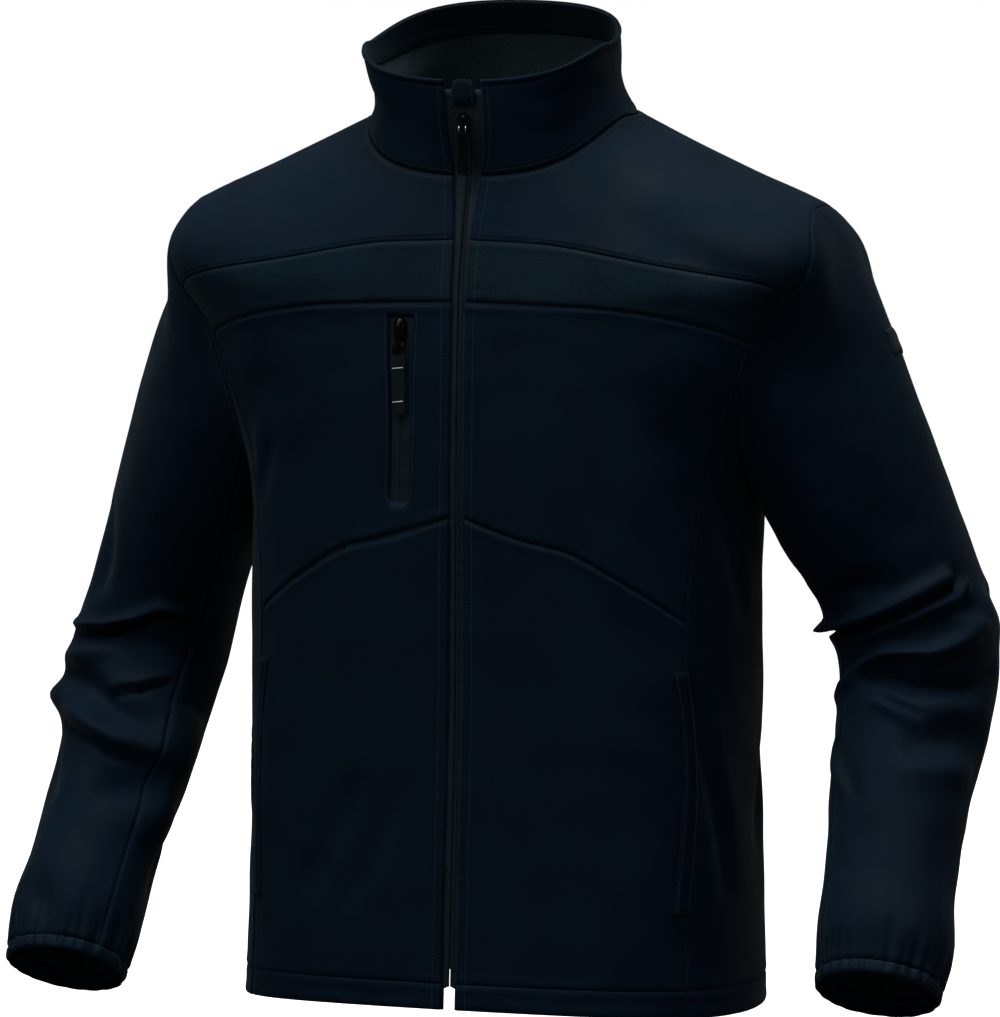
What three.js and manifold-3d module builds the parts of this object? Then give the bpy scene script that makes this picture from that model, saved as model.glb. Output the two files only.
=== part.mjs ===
// Man's softshell jacket, filled out as if worn, with nobody in it. Millimetres, +Z up.
// The front looks along -Y and +X is the wearer's left. The origin is on the centre plane, at the
// height where the collar seam crosses the shoulder seams, over the middle of the neck hole.
import * as THREE from 'three';
import { mergeVertices } from 'three/addons/utils/BufferGeometryUtils.js';
import Module from 'manifold-3d';

const wasm = await Module();
wasm.setup();

// Driving sizes
const WALL = 1.6; // bonded softshell cloth
const SEAM = 0.3; // open line left between two sewn pieces
const HEM = -694; // side height of the hem
const HEM_LINE = HEM + 22; // upper edge of the hem band
const SHOULDER = -69; // height of the shoulder tip
const ARMPIT = -290;
const COLLAR_TOP = 74; // collar height up its front edge
const HALF_GIRTH = 545; // mean girth of the body, halved, to place creases
const SLEEVE_GIRTH = 430; // mean girth of a sleeve, to place creases
const SLEEVE_END = 560; // length of the sleeve cloth along its middle
const SQUARE = 0.05; // how far a body ring is from an ellipse towards a rectangle
const BACK_SEAM = 0.72; // place of the back princess seam round the body
const ZIP_TAPE = 18; // half width of the front zip with its tapes
const TAPE_THICK = 1;
const TAPE_UNDER = -WALL - 1.1; // where the front tapes lie, out from the cloth's outer face
const NOTCH = HEM + 18; // top of the gap between the tape ends at the hem
const NOTCH_HALF = 4.5;
const TAPE_START = 0.3; // distance of each tape's inner edge from the centre plane
const COIL_HALF = 3; // half width of the closed coil
const COIL_THICK = 1.6;
const COIL_UNDER = -0.8;
const COIL_SHORT = 10; // how far under the slider's hinge the coil ends
const GARAGE_THICK = 2.4; // a folded tab of cloth
const GARAGE_BULGE = [0, 1.2, 1.6, 1.2, 0]; // across the tab
const FRONT_SEAT = -2.4; // where the sliders' undersides lie, out from the cloth's outer face
const CHEST_SEAT = -1.4;
const SLIDER_AT = 41; // collar height of the front slider's pull hinge
const POCKET_TOP = -158;
const POCKET_END = -316;
const FACING_START = 0.4; // share of the first collar facet that the facing leaves to the zip
const MOST_REACH = 1.4; // longest seam edge where two walls meet at an angle, in walls

// Number of cloth facets
const NECK_COLUMNS = 6;
const SHOULDER_COLUMNS = 4;
const FRONT_COLUMNS = NECK_COLUMNS + SHOULDER_COLUMNS;
const BACK_COLUMNS = 2 * FRONT_COLUMNS;
const SIDE_COLUMNS = 12;
const LOWER_ROWS = 9;
const CHEST_ROWS = 6;
const BAND_ROWS = 2;
const YOKE_ROWS = 5;

function table(columns, rows) {
  const names = columns.split(' ');
  return rows.map((row) => Object.fromEntries(names.map((name, i) => [name, row[i]])));
}

// Rings of the body from the hem to the neck seam. half is the half width, and each depth and
// height is given at the side, the front centre and the back centre.
const BODY = table('height half sideY sideZ frontY frontZ backY backZ', [
  [HEM, 206, 0, HEM, -140, -686, 133, -700],
  [-600, 204, 0, -600, -134, -600, 128, -600],
  [-450, 203, 0, -450, -124, -450, 118, -450],
  [-330, 203, 0, -330, -122, -318, 124, -325],
  [ARMPIT, 205, 2, ARMPIT, -121, -255, 127, -260],
  [-180, 243, 4, -180, -117, -165, 130, -165],
  [SHOULDER, 255, 6, SHOULDER, -111, -112, 122, -92],
  [-36, 188, 2, -39, -104, -82, 104, -45],
  [0, 103, -5, 0, -94, -46, 70, 8],
]);

// Rings of the collar, above the neck seam. straight says how evenly a ring rises from its sides
// to the back, from 0 to 1.
const COLLAR = table('height half sideY sideZ frontY frontZ backY backZ straight', [
  [0, 103, -5, 0, -94, -46, 70, 8, 0],
  [22, 95, -15, 17, -98, -24, 60, 33, 0.15],
  [50, 97, -28, 38, -103, 4, 46, 63, 0.35],
  [COLLAR_TOP, 99.5, -39, 56.5, -106, 28, 33, 88, 0.5],
]);

// Armhole, by angle from the shoulder tip over the front to the armpit: place round the body and
// height
const ARMHOLE = table('angle around height', [
  [0, 0.5, SHOULDER],
  [22, 0.43, -72],
  [44, 0.374, -90],
  [66, 0.343, -134],
  [90, 0.334, -181],
  [123, 0.35, -237],
  [152, 0.42, -277],
  [180, 0.5, ARMPIT],
]);
const ARMHOLE_FRONT = 66; // angle where the chest band and the princess seam meet the armhole

// Princess seam of the front, up from the hem to the armhole
const PRINCESS = table('height around', [
  [HEM, 0.299],
  [-616, 0.303],
  [-539, 0.317],
  [-495, 0.32],
  [-450, 0.31],
  [-424, 0.298],
  [-387, 0.295],
  [-341, 0.307],
  [-281, 0.328],
  [-223, 0.325],
  [-177, 0.323],
  [-134, 0.343],
]);

// Seams across the front, by share of the way from the zip to the princess seam
const LOWER_SEAM = table('share height', [
  [0, -323],
  [0.2, -333],
  [0.4, -340],
  [0.63, -357],
  [1, -387],
]);
const BAND_BOTTOM = table('share height', [
  [0, -127],
  [0.3, -137],
  [0.65, -159],
  [1, -177],
]);
const BAND_TOP = table('share height', [
  [0, -49],
  [0.25, -56],
  [0.5, -81],
  [0.75, -109],
  [1, -134],
]);

// Half width of the gap that the zip fills, wider where the slider holds the collar ends apart
const ZIP_GAP = table('height half', [
  [HEM, 6],
  [-400, 6],
  [-100, 6],
  [-40, 7],
  [0, 11],
  [30, 15],
  [COLLAR_TOP, 15],
]);

// Place round the body of the chest pocket's zip, which leans a little
const POCKET_LINE = table('height around', [
  [POCKET_END, -0.0627],
  [POCKET_TOP, -0.049],
]);

// Heights of the facets of the front zip between the notch and the slider
const ZIP_ROWS = [-600, -530, -460, -390, -320, -250, -180, -125, -80, -45, -20, 0, 12];
const GARAGE = table('height half', [
  [54, 9],
  [66, 9.5],
  [72, 8],
  [COLLAR_TOP + 0.6, 5],
]);

// Left sleeve, by distance from the armhole: its outer and inner lines, the half depths to the
// front and back, and how far the front side is turned up
const SLEEVE = table(
  'along topX topY topZ underX underY underZ front back tilt',
  [
    [0, 255, 6, SHOULDER, 205, 3, ARMPIT, 66, 70, 0],
    [25, 269, 18, -88, 207, 9, -297, 66, 72, -1],
    [50, 282, 25, -120, 209, 14, -306, 68, 72, -3],
    [90, 302, 31, -168, 214, 22, -320, 70, 73, -6],
    [140, 325, 39, -233, 224, 34, -343, 71, 73, -8],
    [200, 350, 52, -308, 240, 50, -373, 70, 72, -8],
    [260, 372, 60, -375, 253, 58, -407, 67, 71, -3],
    [310, 383, 54, -424, 259, 52, -440, 64, 69, 12],
    [360, 382, 32, -468, 263, 30, -474, 61, 61, 25],
    [420, 376, -6, -522, 268, -8, -524, 56, 55, 31],
    [490, 378, -50, -586, 276, -52, -586, 52, 52, 31],
    [535, 384, -79, -628, 279, -81, -628, 53, 53, 31],
    [SLEEVE_END, 380, -93, -650, 283, -95, -650, 48, 48, 31],
  ],
);

// How far each arm is from the mirror pose, by distance from the armhole. The right arm hangs lower.
const LEFT_POSE = table('along out back up', [
  [0, 0, 0, 0],
  [300, 0, 0, 0],
  [SLEEVE_END, 0, 0, -4],
]);
const RIGHT_POSE = table('along out back up', [
  [0, 0, 0, 0],
  [240, 0, 0, 0],
  [360, 4, 0, -7],
  [SLEEVE_END, 5, 0, -19],
]);
const SLEEVE_FADE = 90; // distance over which the armhole's outline turns into the sleeve's round
const INNER_SEAM = 142; // angle of the sleeve's inner seam
const ELBOW_SEAM = 256; // angle of the seam down the back of the sleeve
const SLEEVE_ROWS = [
  0, 14, 30, 50, 75, 105, 135, 165, 200, 235, 262, 284, 303, 322, 342, 365, 395, 430, 470, 505,
];
const GATHER_ROWS = [528, 545, SLEEVE_END];
const GATHER_DEPTH = 2.6;

// Edges that are cut back more than half a seam, to stay clear where seams meet at sharp angles
const SIDE_GAP = 0.35;
const UNDER_GAP = 0.3;
const ARMHOLE_EASE = 0.03; // share of the first sleeve row that is left open along the armhole

const FOREARM = new THREE.Vector3(0, -Math.sin(Math.PI * 0.172), -Math.cos(Math.PI * 0.172));

// Cuff binding, by distance down from the end of the sleeve cloth
const BINDING = table('down lift', [
  [SEAM, -1.4],
  [5, -0.4],
  [10, -1.6],
]);

// Creases of the body: side of the wearer, two ends as place round and height, half width of the
// crease and its depth, where a minus sign makes a trough
const BODY_CREASES = table('side around1 height1 around2 height2 width depth', [
  [1, 0.345, -452, 0.372, -590, 15, -8],
  [1, 0.318, -470, 0.33, -560, 12, 4],
  [-1, 0.2, -598, 0.135, -520, 13, -4],
  [-1, 0.15, -606, 0.08, -522, 13, -3.5],
  [1, 0.23, -78, 0.29, -112, 20, -4],
  [-1, 0.4, -470, 0.34, -560, 14, -5],
  [1, 0.62, -480, 0.52, -560, 16, -6],
  [-1, 0.62, -500, 0.52, -570, 16, -5],
  [1, 0.8, -200, 0.72, -330, 22, -5],
  [-1, 0.8, -210, 0.73, -340, 22, -5],
  [1, 0.86, -470, 0.74, -520, 18, -5],
  [-1, 0.88, -440, 0.76, -500, 18, -5],
]);

// Creases of the sleeves: angle and distance of both ends, half width and depth
const SLEEVE_CREASES = table('side angle1 along1 angle2 along2 width depth', [
  [-1, 29, 309, 80, 303, 11, -8],
  [-1, 80, 303, 118, 260, 11, -7],
  [-1, 28, 374, 91, 408, 13, 5],
  [-1, 50, 352, 120, 392, 12, -4],
  [-1, 18, 396, 48, 450, 14, -4],
  [-1, 330, 300, 250, 290, 14, -5],
  [-1, 0, 38, 50, 42, 30, -5],
  [-1, 310, 38, 359, 38, 30, -5],
  [-1, 165, 378, 160, 430, 28, 7],
  [-1, 2, 360, 45, 374, 13, 5],
  [1, 131, 259, 60, 243, 11, -7],
  [1, 60, 243, 20, 248, 11, -6],
  [1, 157, 338, 99, 294, 11, 5],
  [1, 67, 303, 20, 280, 12, 5],
  [1, 121, 320, 30, 342, 13, -6],
  [1, 67, 396, 10, 374, 16, -6],
  [1, 330, 258, 250, 262, 14, -5],
  [1, 300, 330, 215, 352, 14, -4],
  [1, 335, 276, 359, 277, 13, 7],
  [1, 0, 277, 40, 287, 13, 5],
  [1, 150, 245, 190, 262, 16, 6],
]);

// Loop of a slider: its width along the hinge, the half height, half depth and wall of its hole, and
// where it starts over the underside of the slider
const LOOP = { width: 3, reach: 2.2, half: 1.4, wall: 1.2, sunk: 1 };
const DOME_SUNK = 0.2; // how far a slider's dome starts inside its body
// Right half of a slider's outline, from its lower end up, in widths and lengths
const SLIDER_OUTLINE = [
  [0.3, -0.5],
  [0.5, -0.1],
  [0.5, 0.34],
  [0.24, 0.5],
];
const PIN = 0.8; // radius of the round bar of a pull
const FRONT_SLIDER = {
  width: 9,
  length: 14,
  thick: 4,
  dome: { half: 2.6, reach: 3, rise: 1.6, up: 3 },
  hingeUp: -1.5,
  hingeOut: 6.1,
};
const FRONT_PULL = { width: 7.5, length: 38, thick: 1.6, eyeHalf: 2.1, eyeReach: 6.4 };
const CHEST_SLIDER_AT = -180;
const CHEST_SLIDER = {
  width: 10,
  length: 20,
  thick: 3.4,
  dome: { half: 5, reach: 8, rise: 4, up: 2 },
  hingeUp: -8.6,
  hingeOut: 5.6,
};
const CHEST_PULL = { width: 12, length: 50, thick: 1.6, eyeHalf: 2.6, eyeReach: 6.4 };
const SLOT_HALF = 7;
const CHEST_TAPE_HALF = 10;
const CHEST_TAPE_UNDER = -WALL - 0.6;
const WELT_ROWS = { first: 2, end: 9 }; // rows of the lower front's facets that a welt covers
const LABEL_BETWEEN = [75, 105]; // the two sleeve rows that the label lies between

const CLOTH = { color: 0x0a141c, roughness: 0.82, metalness: 0 };
const BAND_CLOTH = { color: 0x0c161d, roughness: 0.9, metalness: 0 };
const FACING_CLOTH = { color: 0x090d14, roughness: 0.85, metalness: 0 };
const WELT_CLOTH = { color: 0x0a121b, roughness: 0.8, metalness: 0 };
const TAPE = { color: 0x0b0d10, roughness: 0.7, metalness: 0 };
const COIL = { color: 0x14171b, roughness: 0.55, metalness: 0 };
const SLIDER = { color: 0x101114, roughness: 0.28, metalness: 0.6 };
const PULLER = { color: 0x15181c, roughness: 0.5, metalness: 0 };

const jacket = new THREE.Group();
const panelStations = {}; // the sheets that other pieces lie on

function addMesh(name, geometry, look) {
  const mesh = new THREE.Mesh(geometry, new THREE.MeshStandardMaterial(look));
  mesh.name = name;
  jacket.add(mesh);
  return mesh;
}

// Every column of a table at one value of its first column, smooth through the rows
function smooth(rows, x) {
  const [key, ...columns] = Object.keys(rows[0]);
  const last = rows.length - 1;
  let i = 0;
  while (i < last - 1 && x > rows[i + 1][key]) i += 1;
  const span = rows[i + 1][key] - rows[i][key];
  const t = THREE.MathUtils.clamp((x - rows[i][key]) / span, 0, 1);
  const slopeBetween = (a, b, c) => (b[c] - a[c]) / (b[key] - a[key]);
  const slopeAt = (j, c) => {
    if (j === 0) return slopeBetween(rows[0], rows[1], c);
    if (j === last) return slopeBetween(rows[last - 1], rows[last], c);
    const before = rows[j][key] - rows[j - 1][key];
    const after = rows[j + 1][key] - rows[j][key];
    const rise = slopeBetween(rows[j - 1], rows[j], c) * after;
    return (rise + slopeBetween(rows[j], rows[j + 1], c) * before) / (before + after);
  };
  const value = {};
  for (const c of columns) {
    value[c] =
      rows[i][c] * (1 + 2 * t) * (1 - t) ** 2 +
      slopeAt(i, c) * span * t * (1 - t) ** 2 +
      rows[i + 1][c] * t * t * (3 - 2 * t) +
      slopeAt(i + 1, c) * span * t * t * (t - 1);
  }
  return value;
}

function lerp(a, b, t) {
  return a + (b - a) * t;
}

// count + 1 values from a to b
function steps(a, b, count) {
  return Array.from({ length: count + 1 }, (_, i) => lerp(a, b, i / count));
}

// A point of a ring. around is 0 at the front centre, 0.5 at the left side, 1 at the back centre,
// and below 0 or above 1 on the wearer's right.
function ringPoint(ring, around) {
  const angle = Math.PI * around;
  const across = (Math.sin(angle) + SQUARE * Math.sin(3 * angle)) / (1 - SQUARE);
  const fore = (Math.cos(angle) - SQUARE * Math.cos(3 * angle)) / (1 - SQUARE);
  const [endY, endZ] = fore > 0 ? [ring.frontY, ring.frontZ] : [ring.backY, ring.backZ];
  const straight = fore > 0 ? 0 : (ring.straight ?? 0);
  return new THREE.Vector3(
    ring.half * across,
    lerp(ring.sideY, endY, Math.abs(fore)),
    lerp(ring.sideZ, endZ, lerp(fore * fore, Math.abs(fore), straight)),
  );
}

function ringNormal(rings, around, height) {
  const low = Math.max(height - 2, rings[0].height);
  const high = Math.min(height + 2, rings[rings.length - 1].height);
  const rise = ringPoint(smooth(rings, high), around).sub(ringPoint(smooth(rings, low), around));
  const ring = smooth(rings, height);
  return ringPoint(ring, around + 0.002)
    .sub(ringPoint(ring, around - 0.002))
    .cross(rise)
    .normalize();
}

// The direction of the edge that two walls share where they meet at an angle, and its length in walls
function mitre(a, b) {
  const normal = a.clone().add(b).normalize();
  return { normal, reach: Math.min(1 / Math.max(normal.dot(a), 0.01), MOST_REACH) };
}

// Sum of the creases that cross a point, given the place of both on a flat development
function creaseDepth(creases, side, x, y, place) {
  let sum = 0;
  for (const crease of creases) {
    if (crease.side !== side) continue;
    const [a, b] = place(crease);
    const run = b.clone().sub(a);
    const t = new THREE.Vector2(x, y).sub(a).dot(run) / run.lengthSq();
    const nearest = a.clone().addScaledVector(run, THREE.MathUtils.clamp(t, 0, 1));
    const away = nearest.distanceTo(new THREE.Vector2(x, y)) / crease.width;
    const taper = Math.sin(Math.PI * THREE.MathUtils.clamp(0.15 + 0.7 * t, 0.02, 0.98));
    sum += crease.depth * taper * Math.exp(-away * away);
  }
  return sum;
}

function bodyCrease(around, height) {
  const turned = ((around + 1) % 2) - 1;
  const side = turned < 0 ? -1 : 1;
  return creaseDepth(BODY_CREASES, side, Math.abs(turned) * HALF_GIRTH, height, (c) => [
    new THREE.Vector2(c.around1 * HALF_GIRTH, c.height1),
    new THREE.Vector2(c.around2 * HALF_GIRTH, c.height2),
  ]);
}

// A station is a point of the cloth's outer face, the way out of the cloth, and the length of the
// wall's edge there, in walls
function station(around, height) {
  if (height > 0) {
    const normal = ringNormal(COLLAR, around, height);
    return { point: ringPoint(smooth(COLLAR, height), around), normal, reach: 1 };
  }
  const out = ringNormal(BODY, around, height);
  const point = ringPoint(smooth(BODY, height), around);
  point.addScaledVector(out, bodyCrease(around, height));
  if (height === 0) return { point, ...mitre(out, ringNormal(COLLAR, around, 0)) };
  return { point, normal: out, reach: 1 };
}

// Places round the armhole of the wearer's left, from the shoulder tip forwards
function armholePlace(angle) {
  const front = angle <= 180;
  const place = smooth(ARMHOLE, front ? angle : 360 - angle);
  return { around: front ? place.around : 1 - place.around, height: place.height };
}

function sleeveOval(angle, along) {
  const s = smooth(SLEEVE, along);
  const turn = THREE.MathUtils.degToRad(angle);
  const tilt = THREE.MathUtils.degToRad(s.tilt);
  const outer = new THREE.Vector3(s.topX, s.topY, s.topZ);
  const inner = new THREE.Vector3(s.underX, s.underY, s.underZ);
  const depth = (Math.sin(turn) > 0 ? s.front : s.back) * Math.sin(turn);
  return inner
    .lerp(outer, 0.5 + 0.5 * Math.cos(turn))
    .add(new THREE.Vector3(0, -Math.cos(tilt), Math.sin(tilt)).multiplyScalar(depth));
}

// The left sleeve without creases
function sleeveForm(angle, along) {
  const point = sleeveOval(angle, along);
  if (along >= SLEEVE_FADE) return point;
  const { around, height } = armholePlace(((angle % 360) + 360) % 360);
  const offset = ringPoint(smooth(BODY, height), around).sub(sleeveOval(angle, 0));
  return point.addScaledVector(offset, 1 - THREE.MathUtils.smoothstep(along, 0, SLEEVE_FADE));
}

function sleeveNormal(angle, along) {
  const from = Math.max(along - 2, 0);
  const to = Math.min(along + 2, SLEEVE_END);
  const down = sleeveForm(angle, to).sub(sleeveForm(angle, from));
  return sleeveForm(angle + 1, along)
    .sub(sleeveForm(angle - 1, along))
    .cross(down)
    .normalize();
}

function mirrored(vector, side) {
  return new THREE.Vector3(vector.x * side, vector.y, vector.z);
}

function armholeStation(side, angle) {
  const { around, height } = armholePlace(angle);
  const sewn = station(side * around, height);
  return { point: sewn.point, ...mitre(sewn.normal, mirrored(sleeveNormal(angle, 0), side)) };
}

function sleeveStation(side, angle, along, lift = 0) {
  const wrapped = ((angle % 360) + 360) % 360;
  if (along === 0) return armholeStation(side, wrapped);
  const out = sleeveNormal(angle, along);
  const crease = creaseDepth(
    SLEEVE_CREASES,
    side,
    (wrapped * SLEEVE_GIRTH) / 360,
    along,
    (c) => [
      new THREE.Vector2((c.angle1 * SLEEVE_GIRTH) / 360, c.along1),
      new THREE.Vector2((c.angle2 * SLEEVE_GIRTH) / 360, c.along2),
    ],
  );
  const pose = smooth(side > 0 ? LEFT_POSE : RIGHT_POSE, along);
  const point = sleeveForm(angle, along)
    .addScaledVector(out, crease + lift)
    .add(new THREE.Vector3(pose.out, pose.back, pose.up));
  return { point: mirrored(point, side), normal: mirrored(out, side), reach: 1 };
}

// Faces between two rows of vertex numbers. The second row may have twice as many gaps.
function stripFaces(lower, upper, stations) {
  const ratio = (upper.length - 1) / (lower.length - 1);
  const apart = (a, b) => stations[a].point.distanceTo(stations[b].point);
  const faces = [];
  for (let i = 0; i + 1 < lower.length; i += 1) {
    const [a, b] = [lower[i], lower[i + 1]];
    const [c, m, d] = [upper[i * ratio], upper[i * ratio + 1], upper[(i + 1) * ratio]];
    if (ratio === 2) faces.push([a, m, c], [a, b, m], [b, d, m]);
    else if (apart(a, d) < apart(b, c)) faces.push([a, b, d], [a, d, c]);
    else faces.push([a, b, c], [b, d, c]);
  }
  return faces;
}

function openEdges(faces) {
  const key = (a, b) => a + '>' + b;
  const edges = faces.flatMap(([a, b, c]) => [[a, b], [b, c], [c, a]]);
  const seen = new Set(edges.map(([a, b]) => key(a, b)));
  return edges.filter(([a, b]) => !seen.has(key(b, a)));
}

// How far each vertex on an open edge moves into its own piece, so that a seam stays open
function seamShifts(faces, stations, gap) {
  const inward = stations.map(() => []);
  for (const edge of openEdges(faces)) {
    const run = stations[edge[1]].point.clone().sub(stations[edge[0]].point);
    for (const i of edge) inward[i].push(stations[i].normal.clone().cross(run).normalize());
  }
  return inward.map((ways) => {
    if (!ways.length) return new THREE.Vector3();
    const sum = ways[0].clone().add(ways[1]);
    const scale = gap / Math.max(1 + ways[0].dot(ways[1]), 0.05);
    return sum.multiplyScalar(scale);
  });
}

function geometryFrom(points, faces) {
  const geometry = new THREE.BufferGeometry();
  geometry.setAttribute(
    'position',
    new THREE.Float32BufferAttribute(
      points.flatMap((p) => p.toArray()),
      3,
    ),
  );
  geometry.setIndex(faces.flat());
  geometry.computeVertexNormals();
  return geometry;
}

// A closed wall under a sheet of stations, given row by row. lift moves its outer face out of the
// sheet, and ring joins the end of each row to its start.
function wallGeometry(rows, { thick = WALL, gap = SEAM / 2, lift = 0, ring = false } = {}) {
  const stations = rows.flat();
  let next = 0;
  const numbers = rows.map((row) => row.map(() => next++));
  if (ring) numbers.forEach((row) => row.push(row[0]));
  let faces = numbers.slice(1).flatMap((row, i) => stripFaces(numbers[i], row, stations));
  const [a, b, c] = faces[0].map((i) => stations[i].point);
  const facing = b.clone().sub(a).cross(c.clone().sub(a)).dot(stations[faces[0][0]].normal);
  if (facing < 0) faces = faces.map(([p, q, r]) => [p, r, q]);

  const shifts = seamShifts(faces, stations, gap);
  const outer = stations.map((s, i) =>
    s.point.clone().add(shifts[i]).addScaledVector(s.normal, lift * s.reach),
  );
  const inner = stations.map((s, i) =>
    outer[i].clone().addScaledVector(s.normal, -thick * s.reach),
  );
  const twin = stations.length;
  const back = faces.map(([p, q, r]) => [p + twin, r + twin, q + twin]);
  const rim = openEdges(faces).flatMap(([p, q]) => [
    [q, p, p + twin],
    [q, p + twin, q + twin],
  ]);
  return geometryFrom([...outer, ...inner], [...faces, ...back, ...rim]);
}

// A panel is cut in places round the body and heights. patch fills the space between four edges:
// bottom and top run from left to right, the sides run up.
function patch(bottom, right, top, left) {
  const columns = bottom.length - 1;
  const rows = left.length - 1;
  const mix = (i, j, name) => {
    const s = i / columns;
    const t = j / rows;
    const corners = lerp(
      lerp(bottom[0][name], bottom[columns][name], s),
      lerp(top[0][name], top[columns][name], s),
      t,
    );
    return (
      lerp(bottom[i][name], top[i][name], t) + lerp(left[j][name], right[j][name], s) - corners
    );
  };
  return left.map((_, j) =>
    bottom.map((_, i) => {
      if (j === 0) return bottom[i];
      if (j === rows) return top[i];
      if (i === 0) return left[j];
      if (i === columns) return right[j];
      return { around: mix(i, j, 'around'), height: mix(i, j, 'height') };
    }),
  );
}

function solidFrom(geometry) {
  const plain = new THREE.BufferGeometry();
  plain.setAttribute('position', geometry.getAttribute('position'));
  plain.setIndex(geometry.getIndex());
  const merged = mergeVertices(plain, 1e-4);
  return new wasm.Manifold(
    new wasm.Mesh({
      numProp: 3,
      vertProperties: new Float32Array(merged.getAttribute('position').array),
      triVerts: new Uint32Array(merged.getIndex().array),
    }),
  );
}

function geometryOf(solid) {
  const mesh = solid.getMesh();
  const geometry = new THREE.BufferGeometry();
  geometry.setAttribute('position', new THREE.Float32BufferAttribute(mesh.vertProperties, 3));
  geometry.setIndex([...mesh.triVerts]);
  geometry.computeVertexNormals();
  return geometry;
}

function cut(geometry, tool) {
  return geometryOf(solidFrom(geometry).subtract(solidFrom(tool)));
}

function join(...geometries) {
  return geometryOf(geometries.map(solidFrom).reduce((all, one) => all.add(one)));
}

function mirrorPlaces(grid) {
  return grid.map((row) => row.map((p) => ({ ...p, around: -p.around, side: -p.side })));
}

function stationsOf(grid) {
  return grid.map((row) =>
    row.map((p) => ('angle' in p ? armholeStation(p.side, p.angle) : station(p.around, p.height))),
  );
}

// Places of the seams, all for the wearer's left
function centrePlace(x, height) {
  const ring = smooth(height > 0 ? COLLAR : BODY, height);
  return { around: (x * (1 - SQUARE)) / (Math.PI * ring.half * (1 + 3 * SQUARE)), height };
}

function zipPlace(height) {
  return centrePlace(smooth(ZIP_GAP, height).half, height);
}

function princessPlace(height) {
  return { around: smooth(PRINCESS, height).around, height };
}

function armholeEdge(from, to, count, side = 1) {
  return steps(from, to, count).map((angle) => {
    const { around, height } = armholePlace(angle);
    return { around: side > 0 ? around : 2 - around, height, side, angle };
  });
}

function frontSeam(rows, end) {
  const start = zipPlace(rows[0].height);
  return steps(0, 1, FRONT_COLUMNS).map((share, i) => {
    if (i === FRONT_COLUMNS) return end;
    const height = smooth(rows, share).height;
    return { around: lerp(start.around, end.around, share), height };
  });
}

function levelEdge(from, to, height, count) {
  return steps(from, to, count).map((around) => ({ around, height }));
}

const armholeTop = armholeEdge(ARMHOLE_FRONT, 0, YOKE_ROWS);
const lowerSeam = frontSeam(LOWER_SEAM, princessPlace(-387));
const bandBottom = frontSeam(BAND_BOTTOM, princessPlace(-177));
const bandTop = frontSeam(BAND_TOP, armholeTop[0]);
const hemFront = (height) =>
  levelEdge(zipPlace(height).around, princessPlace(height).around, height, FRONT_COLUMNS);
const hemSide = (height) =>
  levelEdge(princessPlace(height).around, BACK_SEAM, height, SIDE_COLUMNS);
const hemBack = (height) =>
  levelEdge(BACK_SEAM, 2 - BACK_SEAM, height, BACK_COLUMNS);

// The front's two long edges between two of its cross seams
function zipEdge(low, high, count) {
  return steps(low[0].height, high[0].height, count).map((height) => zipPlace(height));
}

function princessEdge(low, high, count) {
  const last = FRONT_COLUMNS;
  const edge = steps(low[last].height, high[last].height, count).map(princessPlace);
  edge[0] = low[last];
  edge[count] = high[last];
  return edge;
}

const princessLower = princessEdge(hemFront(HEM_LINE), lowerSeam, LOWER_ROWS);
const princessChest = princessEdge(lowerSeam, bandBottom, CHEST_ROWS);
const princessBand = princessEdge(bandBottom, bandTop, BAND_ROWS);
const princess = [...princessLower, ...princessChest.slice(1), ...princessBand.slice(1)];
const armholeUnder = armholeEdge(ARMHOLE_FRONT, 360 - ARMHOLE_FRONT, SIDE_COLUMNS);

function backSeam(side) {
  const around = side > 0 ? BACK_SEAM : 2 - BACK_SEAM;
  const end = armholeEdge(360 - ARMHOLE_FRONT, 360, YOKE_ROWS, side);
  const edge = steps(HEM_LINE, end[0].height, princess.length - 1).map((height, i, all) => ({
    around: lerp(around, end[0].around, (i / (all.length - 1)) ** 20),
    height,
  }));
  edge[edge.length - 1] = end[0];
  return { below: edge, above: end };
}

const neckFront = levelEdge(zipPlace(0).around, 0.5, 0, NECK_COLUMNS);
const shoulder = levelEdge(0.5, 0.5, 0, SHOULDER_COLUMNS).map((p, i) => ({
  ...p,
  height: (SHOULDER * i) / SHOULDER_COLUMNS,
}));

function addFronts(side) {
  const name = side > 0 ? 'left' : 'right';
  const end = armholeTop[YOKE_ROWS];
  const yokeTop = [...neckFront, ...shoulder.slice(1, -1), end];
  const yokeZip = steps(bandTop[0].height, 0, YOKE_ROWS).map((height) => zipPlace(height));
  const panels = {
    front_yoke: patch(bandTop, armholeTop, yokeTop, yokeZip),
    chest_band: patch(
      bandBottom, princessBand, bandTop, zipEdge(bandBottom, bandTop, BAND_ROWS)),
    chest_panel: patch(
      lowerSeam, princessChest, bandBottom, zipEdge(lowerSeam, bandBottom, CHEST_ROWS)),
    lower_front: patch(
      hemFront(HEM_LINE), princessLower, lowerSeam,
      zipEdge(hemFront(HEM_LINE), lowerSeam, LOWER_ROWS)),
    hem_front: [hemFront(HEM), hemFront(HEM_LINE)],
    side_panel: patch(hemSide(HEM_LINE), backSeam(1).below, armholeUnder, princess),
    hem_side: [hemSide(HEM), hemSide(HEM_LINE)],
  };
  for (const [panel, grid] of Object.entries(panels)) {
    const sheet = stationsOf(side > 0 ? grid : mirrorPlaces(grid));
    panelStations[panel + '_' + name] = sheet;
    const look = panel === 'chest_band' ? BAND_CLOTH : CLOTH;
    const gap = panel === 'side_panel' ? SIDE_GAP : SEAM / 2;
    const wall = wallGeometry(sheet, { gap });
    const slotted = panel === 'chest_panel' && side < 0;
    addMesh(panel + '_' + name, slotted ? cut(wall, pocketSlot()) : wall, look);
  }
}

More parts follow.
